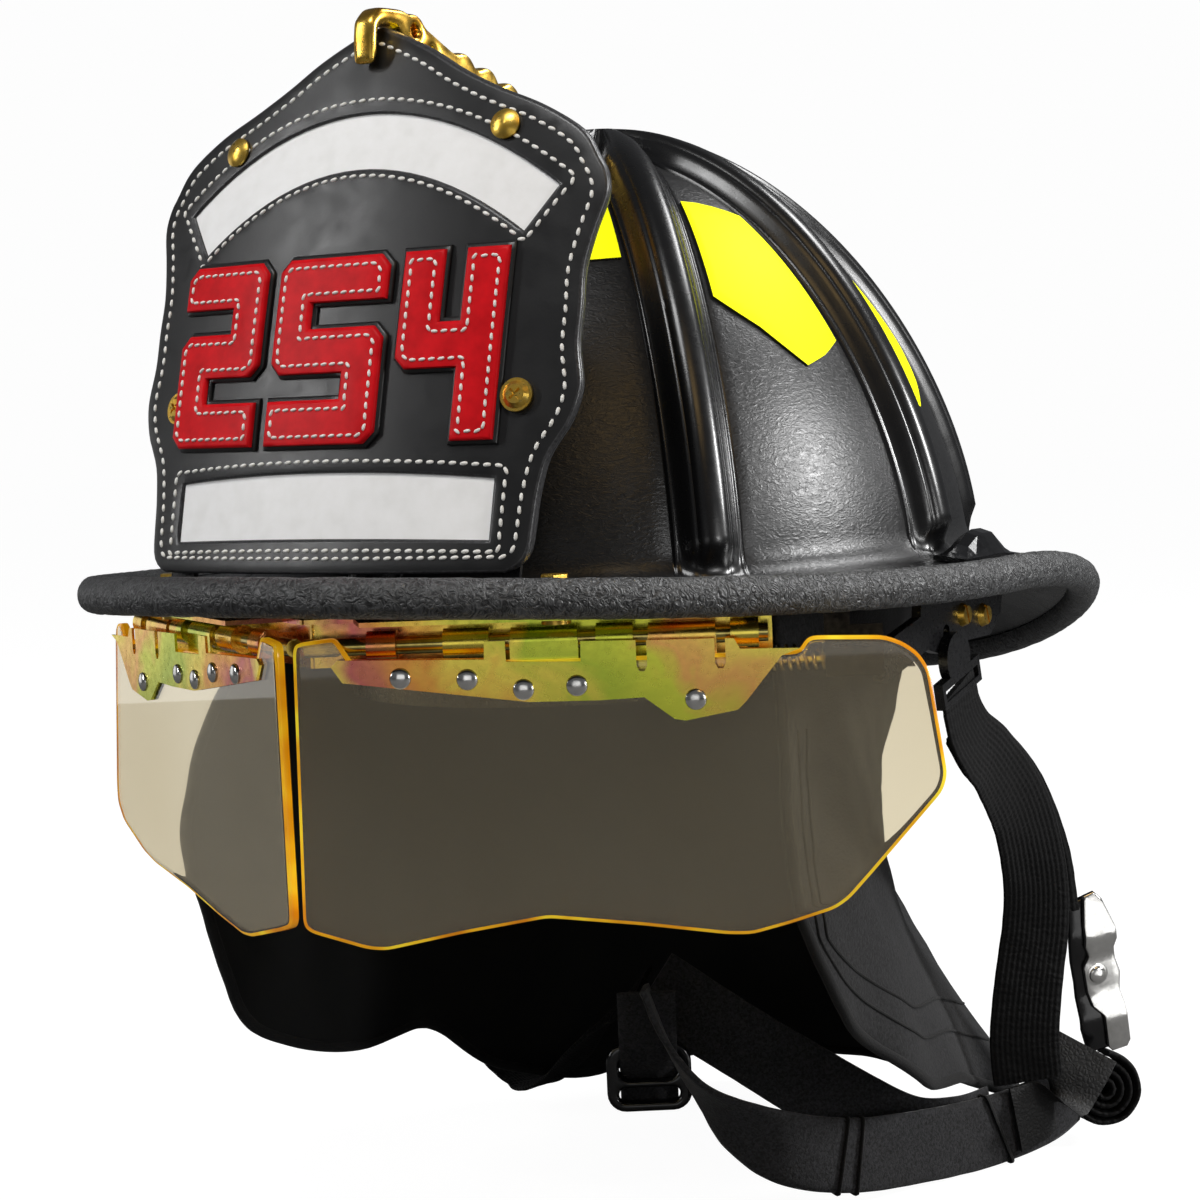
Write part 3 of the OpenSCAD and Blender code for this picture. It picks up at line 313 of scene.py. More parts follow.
def dense(loop, spacing):
    """A loop with its corners kept and its long sides cut into steps no longer than spacing."""
    loop = np.asarray(loop, float)
    out = []
    for a, b in zip(loop, np.roll(loop, -1, axis=0)):
        cuts = max(int(math.ceil(np.linalg.norm(b - a) / spacing)), 1)
        out += [a + (b - a) * k / cuts for k in range(cuts)]
    return np.array(out)


def inside(points, loop):
    """Whether each point lies within the loop."""
    x, y = points[:, 0], points[:, 1]
    hit = np.zeros(len(points), bool)
    for (x1, y1), (x2, y2) in zip(loop, np.roll(loop, -1, axis=0)):
        if y1 != y2:
            hit ^= ((y1 > y) != (y2 > y)) & (x < (x2 - x1) * (y - y1) / (y2 - y1) + x1)
    return hit


def cut_plate(outer, holes, profile, place, step=4, spacing=2.5, border=0):
    """A plate cut from flat sheet, with shaped edges.

    profile lists (inset, depth) from the front face round the edge to the back face, and place
    carries flat x, z and a depth to the helmet. The first and last border strips still belong to the faces.
    Returns points, faces, and which faces form the edge."""
    loops = [dense(outer if loop_area(outer) > 0 else outer[::-1], spacing)]
    loops += [dense(h if loop_area(h) < 0 else h[::-1], spacing) for h in holes]
    loops = [np.asarray(loop, float) for loop in loops]
    first = [inset(loop, profile[0][0]) for loop in loops]
    flat = np.vstack(first)
    edges, base = [], 0
    for loop in first:
        n = len(loop)
        edges += [(base + k, base + (k + 1) % n) for k in range(n)]
        base += n
    low, high = first[0].min(axis=0), first[0].max(axis=0)
    gx, gz = np.meshgrid(np.arange(low[0] + step / 2, high[0], step),
                         np.arange(low[1] + step / 2, high[1], step))
    grid = np.stack([gx.ravel(), gz.ravel()], axis=-1)
    keep = inside(grid, first[0])
    for hole in first[1:]:
        keep &= ~inside(grid, hole)
    grid = grid[keep]
    if len(grid):
        near = np.array([np.min(np.hypot(*(flat - g).T)) for g in grid])
        grid = grid[near > step * 0.45]
    everything = np.vstack([flat, grid]) if len(grid) else flat
    made = delaunay_2d_cdt([Vector(p) for p in everything.tolist()], edges, [], 2, 1e-7)
    spots = np.array([tuple(v) for v in made[0]])
    home = {}
    for new, olds in enumerate(made[3]):
        for old in olds:
            home[old] = new
    middles = np.array([spots[list(f)].mean(axis=0) for f in made[2]])
    keep = inside(middles, first[0])
    for hole in first[1:]:
        keep &= ~inside(middles, hole)
    triangles = [tuple(f) for f, kept in zip(made[2], keep) if kept]
    count = len(spots)
    points = [place(spots[:, 0], spots[:, 1], profile[0][1])]
    faces = list(triangles)
    kinds = [0] * len(triangles)
    rings = [[home[i] for i in range(base)]]
    total = count
    for distance, depth in profile[1:-1]:
        ring = np.vstack([inset(loop, distance) for loop in loops])
        points.append(place(ring[:, 0], ring[:, 1], depth))
        rings.append(list(range(total, total + base)))
        total += base
    back = spots.copy()
    ring = np.vstack([inset(loop, profile[-1][0]) for loop in loops])
    for i in range(base):
        back[home[i]] = ring[i]
    points.append(place(back[:, 0], back[:, 1], profile[-1][1]))
    faces += [tuple(total + v for v in reversed(t)) for t in triangles]
    kinds += [0] * len(triangles)
    rings.append([total + home[i] for i in range(base)])
    for strip, (a, b) in enumerate(zip(rings, rings[1:])):
        start = 0
        kind = 0 if strip < border or strip >= len(rings) - 1 - border else 1
        for loop in loops:
            n = len(loop)
            for k in range(n):
                i, j = start + k, start + (k + 1) % n
                faces.append((a[j], a[i], b[i], b[j]))
                kinds.append(kind)
            start += n
    return np.vstack(points), faces, kinds


# ---- Colours and materials ----
def linear(code):
    """An sRGB hex colour as linear light."""
    shares = [int(code[k:k + 2], 16) / 255 for k in (1, 3, 5)]
    return tuple(s / 12.92 if s <= 0.04045 else ((s + 0.055) / 1.055) ** 2.4 for s in shares) + (1.0,)


def add(tree, kind, inputs=None, stops=None, **settings):
    """Adds one node with its settings. inputs gives each socket a value or another node's output."""
    node = tree.nodes.new(kind)
    for key, value in settings.items():
        setattr(node, key, value)
    for key, value in (inputs or {}).items():
        if isinstance(value, bpy.types.NodeSocket):
            tree.links.new(value, node.inputs[key])
        else:
            node.inputs[key].default_value = value
    if stops:
        ramp = node.color_ramp
        while len(ramp.elements) < len(stops):
            ramp.elements.new(0.5)
        for element, (place, colour) in zip(ramp.elements, stops):
            element.position = place
            element.color = linear(colour) if isinstance(colour, str) else (colour, colour, colour, 1)
    return node


Finish = namedtuple("Finish", "material tree shader place")


def new_finish(name, **sockets):
    """A new finish with its shader's plain sockets set. Its place outputs are in metres."""
    material = bpy.data.materials.new(name)
    material.use_nodes = True
    tree = material.node_tree
    shader = tree.nodes["Principled BSDF"]
    for key, value in sockets.items():
        shader.inputs[key.replace("_", " ")].default_value = value
    return Finish(material, tree, shader, add(tree, "ShaderNodeTexCoord").outputs)


def lay(finish, pattern, tones=None, shine=None, glow=None, depth=0.0, strength=1.0):
    """Lays a pattern over a finish, as tones, roughness or glow, and as a relief depth millimetres high."""
    for socket, stops in (("Base Color", tones), ("Roughness", shine), ("Emission Color", glow)):
        if stops:
            ramp = add(finish.tree, "ShaderNodeValToRGB", {"Fac": pattern}, stops=stops)
            finish.tree.links.new(ramp.outputs["Color"], finish.shader.inputs[socket])
    if depth:
        inputs = {"Height": pattern, "Distance": depth * MM, "Strength": strength}
        under = finish.shader.inputs["Normal"].links
        if under:
            inputs["Normal"] = under[0].from_socket
        bump = add(finish.tree, "ShaderNodeBump", inputs)
        finish.tree.links.new(bump.outputs["Normal"], finish.shader.inputs["Normal"])


def mottle(finish, size, detail=3, distortion=0.0, over=None, **looks):
    """Lays an uneven pattern with lumps about size millimetres across. Looks are those of lay."""
    inputs = {"Vector": over or finish.place["Object"], "Scale": 1 / (size * MM), "Detail": detail,
              "Distortion": distortion}
    lumps = add(finish.tree, "ShaderNodeTexNoise", inputs)
    lay(finish, lumps.outputs["Fac"], **looks)


def grained_shell():
    """Glass-filled thermoplastic from a leather-grained mould: satin black, its creases flowing round it."""
    finish = new_finish("grained_shell_plastic", Roughness=0.3, IOR=1.5)
    flow = add(finish.tree, "ShaderNodeMapping",
               {"Vector": finish.place["Object"], "Scale": (0.42, 0.42, 1.0)}).outputs["Vector"]
    mottle(finish, 9, tones=[(0.3, "#0b0b0c"), (0.7, "#121213")])
    mottle(finish, 0.55, 2, 0.8, flow, depth=0.04, strength=0.4)
    mottle(finish, 1.25, 2, 1.6, flow, shine=[(0.35, 0.42), (0.65, 0.33)], depth=0.2, strength=0.7)
    return finish.material


def smooth_shell():
    """The same thermoplastic off the polished parts of its mould: ribs and brim, glossier and nearly even."""
    finish = new_finish("smooth_shell_plastic", Roughness=0.26, IOR=1.5)
    mottle(finish, 6, tones=[(0.3, "#0a0a0b"), (0.7, "#101011")], shine=[(0.3, 0.3), (0.7, 0.24)])
    mottle(finish, 0.9, depth=0.03, strength=0.4)
    return finish.material


def bead_rubber():
    """Extruded EPDM rubber, drawn over the edge: dull grey-black with short wrinkles across it."""
    finish = new_finish("edge_bead_rubber", Roughness=0.42, IOR=1.5)
    mottle(finish, 0.8, 3, 1.2, shine=[(0.3, 0.5), (0.7, 0.34)], depth=0.12, strength=0.6)
    mottle(finish, 2.6, 2, 2.4, tones=[(0.36, "#1f1f20"), (0.62, "#505152")], depth=1.1)
    return finish.material


def reflective_film():
    """Fluorescent vinyl film over glass beads. Its emission is a painted glow that stands in for the
    yellow-green light the film sends back, so it shines under no lamp.
    """
    finish = new_finish("lime_reflective_film", Roughness=0.5, IOR=1.5, Specular_IOR_Level=0.05,
                        Emission_Strength=0.5)
    # The film's honeycomb cells are 0.3 mm and are drawn 0.9 mm wide, so that they show
    cells = add(finish.tree, "ShaderNodeTexVoronoi",
                {"Vector": finish.place["Object"], "Scale": 1 / (0.9 * MM)}, feature="DISTANCE_TO_EDGE")
    # The glow colours are painted light; the darker cell walls are the film's own pattern
    lay(finish, cells.outputs["Distance"], tones=[(0.0, "#d9de12"), (0.12, "#ecef10")],
        glow=[(0.0, "#e4ea12"), (0.12, "#fbfc14")])
    return finish.material


def film_edge_painted_shade():
    """Cut edge of the film, painted dark as the shade along its outline."""
    finish = new_finish("film_cut_edge_painted_shade", Roughness=0.7)
    mottle(finish, 1.2, tones=[(0.3, "#1b1a0c"), (0.7, "#3a3710")])
    return finish.material


def shield_leather():
    """Vegetable-tanned cowhide, black and waxed: soft shine with a fine pebble."""
    finish = new_finish("waxed_black_leather", Roughness=0.3, IOR=1.5)
    pebble = add(finish.tree, "ShaderNodeTexVoronoi",
                 {"Vector": finish.place["Object"], "Scale": 1 / (1.1 * MM)})
    lay(finish, pebble.outputs["Distance"], depth=0.05, strength=0.22)
    mottle(finish, 1.0, depth=0.05, strength=0.25)
    mottle(finish, 7, 3, 0.6, tones=[(0.3, "#0a0a0b"), (0.7, "#151516")], shine=[(0.3, 0.43), (0.7, 0.33)])
    return finish.material


def leather_edge():
    """Cut and burnished edge of the leather: grey and waxy, with its fibres showing."""
    finish = new_finish("burnished_leather_edge", Roughness=0.34)
    mottle(finish, 0.9, 4, tones=[(0.3, "#1a1a1b"), (0.7, "#3c3c3e")], depth=0.1, strength=0.6)
    return finish.material


def panel_leather(name, deep, light, rough):
    """Pigmented side leather for the panels and numerals: an even coat of colour over a fine pebble."""
    finish = new_finish(name, Roughness=rough, IOR=1.5, Specular_IOR_Level=0.1)
    mottle(finish, 6, tones=[(0.3, deep), (0.7, light)])
    mottle(finish, 0.8, depth=0.05, strength=0.4)
    return finish.material


def waxed_thread():
    """White waxed polyester thread: three strands twisted, with a soft shine."""
    finish = new_finish("white_waxed_thread", Roughness=0.55)
    mottle(finish, 0.5, 2, tones=[(0.3, "#dcdad2"), (0.6, "#fbfaf6")], depth=0.08, strength=0.5)
    return finish.material


def cast_brass():
    """Cast brass, hand polished: deep yellow with soft hollows left by the mould."""
    finish = new_finish("polished_cast_brass", Metallic=1.0, Roughness=0.26)
    mottle(finish, 8, 4, tones=[(0.32, "#cf9a36"), (0.62, "#f2c85a")])
    mottle(finish, 3.2, shine=[(0.3, 0.34), (0.7, 0.22)], depth=0.1, strength=0.3)
    return finish.material


def turned_brass():
    """Brass turned and lacquered for screws, rivets and posts: bright yellow, worn unevenly."""
    finish = new_finish("lacquered_turned_brass", Metallic=1.0, Roughness=0.18)
    mottle(finish, 1.6, tones=[(0.3, "#d8aa3e"), (0.7, "#f5d068")], shine=[(0.3, 0.36), (0.7, 0.26)])
    return finish.material


def chromated_steel():
    """Zinc-plated steel, yellow chromated: its film thickens outwards, from magenta to gold to green."""
    finish = new_finish("yellow_chromated_steel", Metallic=1.0, Roughness=0.22)
    tree = finish.tree
    place = finish.place["Object"]
    parts = add(tree, "ShaderNodeSeparateXYZ", {"Vector": place}).outputs
    across = add(tree, "ShaderNodeMath", {0: parts["X"]}, operation="ABSOLUTE").outputs[0]
    drift = add(tree, "ShaderNodeTexNoise", {"Vector": place, "Scale": 1 / (17 * MM), "Detail": 2,
                                             "Distortion": 0.8}).outputs["Fac"]
    run = LENS_APEX * MM * sind(LENS_ANGLE)
    # The film's place runs along the plate and a little down it, and drifts with the bath
    for part, share in ((across, cosd(LENS_ANGLE)), (parts["Y"], sind(LENS_ANGLE)), (drift, 0.05),
                        (parts["Z"], 0.9)):
        run = add(tree, "ShaderNodeMath", {0: part, 1: share, 2: run}, operation="MULTIPLY_ADD").outputs[0]
    share = add(tree, "ShaderNodeMapRange", {"Value": run, "From Min": 0.02, "From Max": 0.145})
    lay(finish, share.outputs["Result"],
        tones=[(0.0, "#f8e468"), (0.14, "#c9706a"), (0.27, "#eca650"), (0.40, "#f8de60"), (0.55, "#bccc48"),
               (0.72, "#dce050"), (0.84, "#f4b868"), (1.0, "#ffe868")])
    mottle(finish, 2.2, shine=[(0.3, 0.3), (0.7, 0.18)], depth=0.03, strength=0.3)
    return finish.material


def pin_steel():
    """Drawn steel rod under a thin dark chromate: olive-grey and mirror-like along its length."""
    finish = new_finish("dark_chromated_rod", Metallic=1.0, Roughness=0.2)
    mottle(finish, 5, tones=[(0.3, "#a08c48"), (0.7, "#d8c878")])
    return finish.material


def bright_steel():
    """Nickel-plated steel, pressed and tumbled: silver with small soft dents."""
    finish = new_finish("bright_nickel_plate", Metallic=1.0, Roughness=0.2)
    mottle(finish, 2.4, 2, tones=[(0.3, "#dddcd9"), (0.7, "#f4f3f0")], shine=[(0.3, 0.26), (0.7, 0.14)],
           depth=0.04, strength=0.3)
    return finish.material


def black_plated_steel():
    """Steel with black zinc plating, tumbled: nearly black, with a greasy metal shine."""
    finish = new_finish("black_zinc_steel", Metallic=1.0, Roughness=0.34)
    mottle(finish, 1.8, tones=[(0.3, "#141313"), (0.7, "#2a2826")], shine=[(0.3, 0.42), (0.7, 0.28)])
    return finish.material


def spring_wire():
    """Zinc-plated spring wire: pale gold, duller in streaks."""
    finish = new_finish("plated_spring_wire", Metallic=1.0, Roughness=0.26)
    mottle(finish, 1.5, tones=[(0.3, "#a98942"), (0.7, "#e9d28b")])
    return finish.material


def lens_sheet():
    """Polycarbonate sheet with a hard coat: clear with a warm grey cast, and it mirrors bright things."""
    finish = new_finish("hard_coated_polycarbonate", Roughness=0.02, IOR=1.585, Transmission_Weight=0.955)
    mottle(finish, 60, 1, tones=[(0.3, "#d9cdaf"), (0.7, "#dfd4b8")])
    return finish.material


def lens_edge():
    """Cut edge of the sheet with a painted amber glow: its emission stands in for the light caught inside the
    sheet that comes out at the edge.
    """
    finish = new_finish("edge_lit_polycarbonate", Roughness=0.12, IOR=1.585, Emission_Strength=0.38)
    # The glow colours paint the amber light that comes out of the cut edge
    mottle(finish, 18, 2, tones=[(0.36, "#d98a12"), (0.5, "#f2b41c"), (0.64, "#ffe23a")],
           glow=[(0.36, "#d07d0c"), (0.5, "#f0ad14"), (0.64, "#ffdf2e")])
    return finish.material


def moulded_nylon(name, rough):
    """Glass-filled nylon, injection moulded: black with a light skin of texture."""
    finish = new_finish(name, Roughness=rough, IOR=1.53)
    mottle(finish, 8, tones=[(0.3, "#09090a"), (0.7, "#121214")])
    mottle(finish, 1.1, shine=[(0.3, rough + 0.07), (0.7, rough - 0.06)], depth=0.04, strength=0.35)
    return finish.material


def cap_foam():
    """Rigid urethane foam with a moulded skin: dull charcoal with pin holes, painted darker inside as shade.
    """
    finish = new_finish("moulded_urethane_foam", Roughness=0.85)
    pores_with_painted_shade = add(finish.tree, "ShaderNodeTexVoronoi",
                {"Vector": finish.place["Object"], "Scale": 1 / (2.2 * MM)})
    # The pits take the darkest tone: painted shade in the pin holes
    lay(finish, pores_with_painted_shade.outputs["Distance"], tones=[(0.05, "#0d0d0e"), (0.3, "#232325")], depth=0.3,
        strength=0.5)
    return finish.material


def woven_cloth(name, deep, light, thread, bloom=0.06):
    """Plain-woven aramid or cotton cloth: matt, its nap in small lumps, a soft bloom at grazing angles."""
    finish = new_finish(name, Roughness=0.88, IOR=1.45, Sheen_Weight=bloom, Sheen_Roughness=0.45)
    # The threads are 0.3 mm apart and are drawn 0.45 to 1.1 mm apart, so that they show
    mottle(finish, 14, depth=0.4, strength=0.25)
    mottle(finish, thread, 3, 0.7, tones=[(0.34, deep), (0.66, light)], depth=0.26, strength=0.9)
    return finish.material


def creased_facing():
    """Coated band facing where it is folded: dull black, crossed by fine creases like old leather, with
    painted shade darkening each crease line.
    """
    finish = new_finish("creased_band_facing", Roughness=0.62, IOR=1.48)
    mottle(finish, 0.8, 3, 1.0, depth=0.1, strength=0.5)
    creases = add(finish.tree, "ShaderNodeTexVoronoi",
                  {"Vector": finish.place["Object"], "Scale": 1 / (1.5 * MM)}, feature="DISTANCE_TO_EDGE")
    # The crease lines take the darkest tone: painted shade in the creases
    lay(finish, creases.outputs["Distance"], tones=[(0.0, "#040404"), (0.2, "#131314")], depth=0.35,
        strength=0.9)
    return finish.material


def lining_film():
    """Calendered neoprene inside the cover: flat black, almost without texture."""
    finish = new_finish("smooth_neoprene_lining", Roughness=0.7, IOR=1.45)
    mottle(finish, 20, 2, tones=[(0.3, "#060606"), (0.7, "#0a0a0a")], depth=0.5, strength=0.3)
    return finish.material


def ribbed_webbing():
    """Woven nylon webbing: black, its picks standing in rows across the lengthways ribs."""
    finish = new_finish("black_nylon_webbing", Roughness=0.8, IOR=1.53, Specular_IOR_Level=0.2,
                        Sheen_Weight=0.02)
    mottle(finish, 0.7, tones=[(0.3, "#020203"), (0.72, "#070708")], depth=0.25, strength=0.7)
    # Picks are 0.7 mm apart and are drawn 1.4 mm apart to show. A wave's scale counts 6.5 to a turn
    inputs = {"Vector": finish.place["UV"], "Scale": 1 / (1.4 * MM) / 6.5, "Distortion": 5.0, "Detail": 2.0,
              "Detail Scale": 2.0}
    picks = add(finish.tree, "ShaderNodeTexWave", inputs, bands_direction="X")
    lay(finish, picks.outputs["Fac"], depth=0.22, strength=0.8)
    return finish.material


# ---- Camera and studio ----
PHOTO_PIXELS = 1200
FOCAL_PIXELS = 2662
SENSOR_WIDTH = 36
CAMERA_PLACE = (0.4593, -0.7127, 0.0602)
CAMERA_RIGHT = (0.8414, 0.5386, -0.0439)
CAMERA_BACK = (0.5403, -0.8385, 0.0708)
# Pixels by which the photograph's middle lies beside and above the lens's own middle
CAMERA_SHIFT = (-5.1, -28.5)
# Each softbox: direction from the helmet, distance, width and height in metres, watts, colour
SOFTBOXES = {
    "side_softbox": ((0.81, 0.459, 0.366), 1.5, 0.22, 0.3, 18, "#ffffff"),
    "warm_card": ((0.603, -0.334, 0.724), 1.5, 0.4, 0.4, 1.4, "#ffd48a"),
    "edge_card": ((0.98, -0.15, 0.1), 1.5, 0.14, 0.3, 3.6, "#ffffff"),
    "strip_softbox": ((-0.64, -0.65, 0.42), 1.6, 0.1, 0.8, 7, "#ffffff"),
    "low_card": ((0.248, 0.044, -0.176), 0.307, 0.14, 0.14, 0.08, "#ffffff"),
    "key_softbox": ((0.1, -0.5, 0.86), 1.5, 0.5, 0.4, 10, "#ffffff"),
    "top_softbox": ((0.3, 0.62, 0.72), 1.5, 0.6, 0.3, 9, "#ffffff"),
    "front_card": ((0.41, -0.91, -0.02), 1.9, 1.0, 0.9, 2.2, "#ffffff"),
    "left_card": ((-1.0, -0.02, 0.02), 1.6, 0.8, 0.7, 1.4, "#ffffff")}
LIGHT_CENTRE = (0, 0, -0.02)
FLOOR_GLOW = 0.965
FLOOR_REACH = 6000
FLOOR_GAP = 0.8


def set_camera():
    """The photograph's viewpoint, found from the object's own sizes."""
    right = Vector(CAMERA_RIGHT).normalized()
    back = Vector(CAMERA_BACK).normalized()
    up = back.cross(right).normalized()
    data = bpy.data.cameras.new("photo_camera")
    data.sensor_width = SENSOR_WIDTH
    data.lens = SENSOR_WIDTH * FOCAL_PIXELS / PHOTO_PIXELS
    data.shift_x = CAMERA_SHIFT[0] / PHOTO_PIXELS
    data.shift_y = CAMERA_SHIFT[1] / PHOTO_PIXELS
    data.clip_start = 0.01
    data.clip_end = 20
    camera = bpy.data.objects.new("photo_camera", data)
    scene.collection.objects.link(camera)
    turn = Matrix((right, up, back)).transposed().to_4x4()
    camera.matrix_world = Matrix.Translation(Vector(CAMERA_PLACE)) @ turn
    scene.camera = camera
    scene.view_settings.view_transform = "Standard"
    scene.view_settings.look = "None"


def soft_light(name, way, distance, width, height, power, colour):
    """A softbox that stands in a direction from the helmet and faces it."""
    data = bpy.data.lights.new(name, "AREA")
    data.shape = "RECTANGLE"
    data.size = width
    data.size_y = height
    data.energy = power
    data.color = linear(colour)[:3]
    lamp = bpy.data.objects.new(name, data)
    scene.collection.objects.link(lamp)
    way = Vector(way).normalized()
    lamp.location = Vector(LIGHT_CENTRE) + way * distance
    lamp.rotation_euler = way.to_track_quat("Z", "Y").to_euler()
    lamp.visible_camera = False
    lamp.visible_transmission = False


def looked_at(tree):
    """1 for what the camera sees directly or through a lens, and 0 for what only lights the helmet."""
    path = add(tree, "ShaderNodeLightPath").outputs
    return add(tree, "ShaderNodeMath", {0: path["Is Camera Ray"], 1: path["Is Transmission Ray"]},
               operation="MAXIMUM").outputs[0]


def set_studio():
    """A pale backdrop and floor, and softboxes where the photograph's highlights ask for them."""
    world = bpy.data.worlds.new("pale_studio")
    scene.world = world
    world.use_nodes = True
    tree = world.node_tree
    tree.nodes.clear()
    colour = add(tree, "ShaderNodeMix", {0: looked_at(tree), 6: linear("#515254"), 7: linear("#fdfdfd")},
                 data_type="RGBA").outputs[2]
    lit = add(tree, "ShaderNodeBackground", {"Color": colour, "Strength": 1.0}).outputs["Background"]
    add(tree, "ShaderNodeOutputWorld", {"Surface": lit})
    for name, light in SOFTBOXES.items():
        soft_light(name, *light)
    finish = new_finish("pale_floor", Roughness=0.9, Emission_Color=linear("#ffffff"))
    material, tree, shader, _ = finish
    mottle(finish, 300, tones=[(0.3, "#5b5b5b"), (0.7, "#5e5e5e")])
    shine = add(tree, "ShaderNodeMath", {0: looked_at(tree), 1: FLOOR_GLOW}, operation="MULTIPLY").outputs[0]
    tree.links.new(shine, shader.inputs["Emission Strength"])
    # From underneath the floor is clear, so that the lining of the helmet can be looked at
    surface = tree.nodes["Material Output"].inputs["Surface"]
    under = add(tree, "ShaderNodeNewGeometry").outputs["Backfacing"]
    clear = add(tree, "ShaderNodeBsdfTransparent").outputs["BSDF"]
    both = add(tree, "ShaderNodeMixShader", {0: under, 1: surface.links[0].from_socket, 2: clear})
    tree.links.new(both.outputs["Shader"], surface)
    level = cad_low.z / MM - FLOOR_GAP
    corners = [(x * FLOOR_REACH, y * FLOOR_REACH, level) for x, y in ((-1, -1), (1, -1), (1, 1), (-1, 1))]
    make_piece("floor", corners, [(0, 1, 2, 3)], material)


# ---- Dome and brim, from the frame's own rules ----
def rib_gap(i):
    """Angle from rib i to the next."""
    return (RIB_ANGLES[(i + 1) % RIB_COUNT] - RIB_ANGLES[i]) % 360


def rib_half(i, r):
    """Half the angle that rib i covers where the dome has shrunk to the share r."""
    return min(math.degrees(RIB_WIDTH / 2 / (r * DOME_MEAN)),
               RIB_SHARE * min(rib_gap(i), rib_gap((i - 1) % RIB_COUNT)))


def dome_r(t):
    """The share to which the dome has shrunk at the angle t above its foot."""
    return np.maximum(cosd(t), 0) ** DOME_ROUND


def dome_point(a, t, grow, shrink=0.0):
    """A point of the dome at the angle a round it and t above its foot, grown outwards or shrunk."""
    a, t, grow = np.broadcast_arrays(np.asarray(a, float), np.asarray(t, float), np.asarray(grow, float))
    deep = np.where(cosd(a) > 0, DOME_FRONT, DOME_BACK) - shrink
    r = dome_r(t)
    up = np.maximum(sind(t), 0) ** DOME_CROWN
    return np.stack([((DOME_HALF_WIDTH - shrink) * r + grow * cosd(t)) * sind(a),
                     DOME_Y - (deep * r + grow * cosd(t)) * cosd(a),
                     FOOT_Z + (DOME_HEIGHT - shrink) * up + grow * sind(t)], axis=-1)


def bead_mid(a):
    """Middle of the edge bead at the angle a round the brim."""
    front = cosd(a) > 0
    return np.stack([BRIM_HALF_WIDTH * sind(a), -np.where(front, BRIM_FRONT, BRIM_BACK) * cosd(a),
                     SIDE_Z + np.where(front, FRONT_RISE - SIDE_Z, -BRIM_DROP) * cosd(a) ** 2], axis=-1)


def foot_mid(a, out=FOOT_REACH):
    """Middle of the wall where the dome turns into the brim."""
    front = cosd(a) > 0
    return np.stack([(DOME_HALF_WIDTH + out) * sind(a),
                     DOME_Y - (np.where(front, DOME_FRONT, DOME_BACK) + out) * cosd(a),
                     FOOT_Z - SHELL_WALL / 2 - np.where(front, 0, FOOT_DROP * cosd(a) ** 2)], axis=-1)


def brim_out(a):
    return unit(bead_mid(a) - foot_mid(a))


def brim_up(a):
    e = brim_out(a)
    h = np.hypot(e[..., 0], e[..., 1])
    return np.stack([-e[..., 0] * e[..., 2] / h, -e[..., 1] * e[..., 2] / h, h], axis=-1)


def brim_point(a, f, up):
    """A point of the brim at a share f of its way from the bead to the foot, up above its middle."""
    return bead_mid(a) * (1 - f) + foot_mid(a) * f + brim_up(a) * up


def bend(p, q, r, t):
    """A point at the share t of a curve that leaves p towards q and comes to r from it."""
    return p * (1 - t) ** 2 + q * 2 * t * (1 - t) + r * t ** 2


# Across a rib, from its foot to its crest: foot groove, foot line, hollow flank, crease and round crest
RIB_SECTION = [
    (1.0, 0.0), (0.96, -0.02), (0.93, 0.06), (0.895, 0.115), (0.86, 0.12), (0.82, 0.105), (0.76, 0.16),
    (0.67, 0.33), (0.58, 0.51), (0.50, 0.65), (0.455, 0.69), (0.42, 0.70), (0.385, 0.78), (0.30, 0.91),
    (0.17, 0.98)]
RIB_STEPS = [-s for s, h in RIB_SECTION] + [0.0] + [s for s, h in reversed(RIB_SECTION)]
RIB_RISE = [h for s, h in RIB_SECTION] + [1.0] + [h for s, h in reversed(RIB_SECTION)]
GAP_CUTS = 16


def rib_columns(r):
    """Angles of all the columns round the dome where it has shrunk to the share r."""
    angles = []
    for i in range(RIB_COUNT):
        half, following = rib_half(i, r), rib_half((i + 1) % RIB_COUNT, r)
        angles += [RIB_ANGLES[i] + s * half for s in RIB_STEPS]
        start, end = RIB_ANGLES[i] + half, RIB_ANGLES[i] + rib_gap(i) - following
        angles += [start + (end - start) * k / GAP_CUTS for k in range(1, GAP_CUTS)]
    return np.array(angles)


# Rings of the shell: angles above the foot outside and inside, and shares of the brim from edge to foot
OUTER_TURNS = [88.5] + list(np.arange(87, 7, -1.6)) + [7]
INNER_TURNS = [4, 14, 28, 44, 60, 75, 86]
BRIM_SHARES = [0.92, 0.8, 0.6, 0.4, 0.2, 0.0]
FOOT_CURVE = [0.85, 0.7, 0.52, 0.35, 0.17]
# Over the crown the ribs run together into a round boss, from its start angle over its width
BOSS_START = 81
BOSS_BLEND = 6
LEAST_SHARE = 0.06


def dome_columns(t):
    """Angles of the columns on the ring at the angle t above the foot."""
    return rib_columns(max(float(dome_r(t)), LEAST_SHARE))


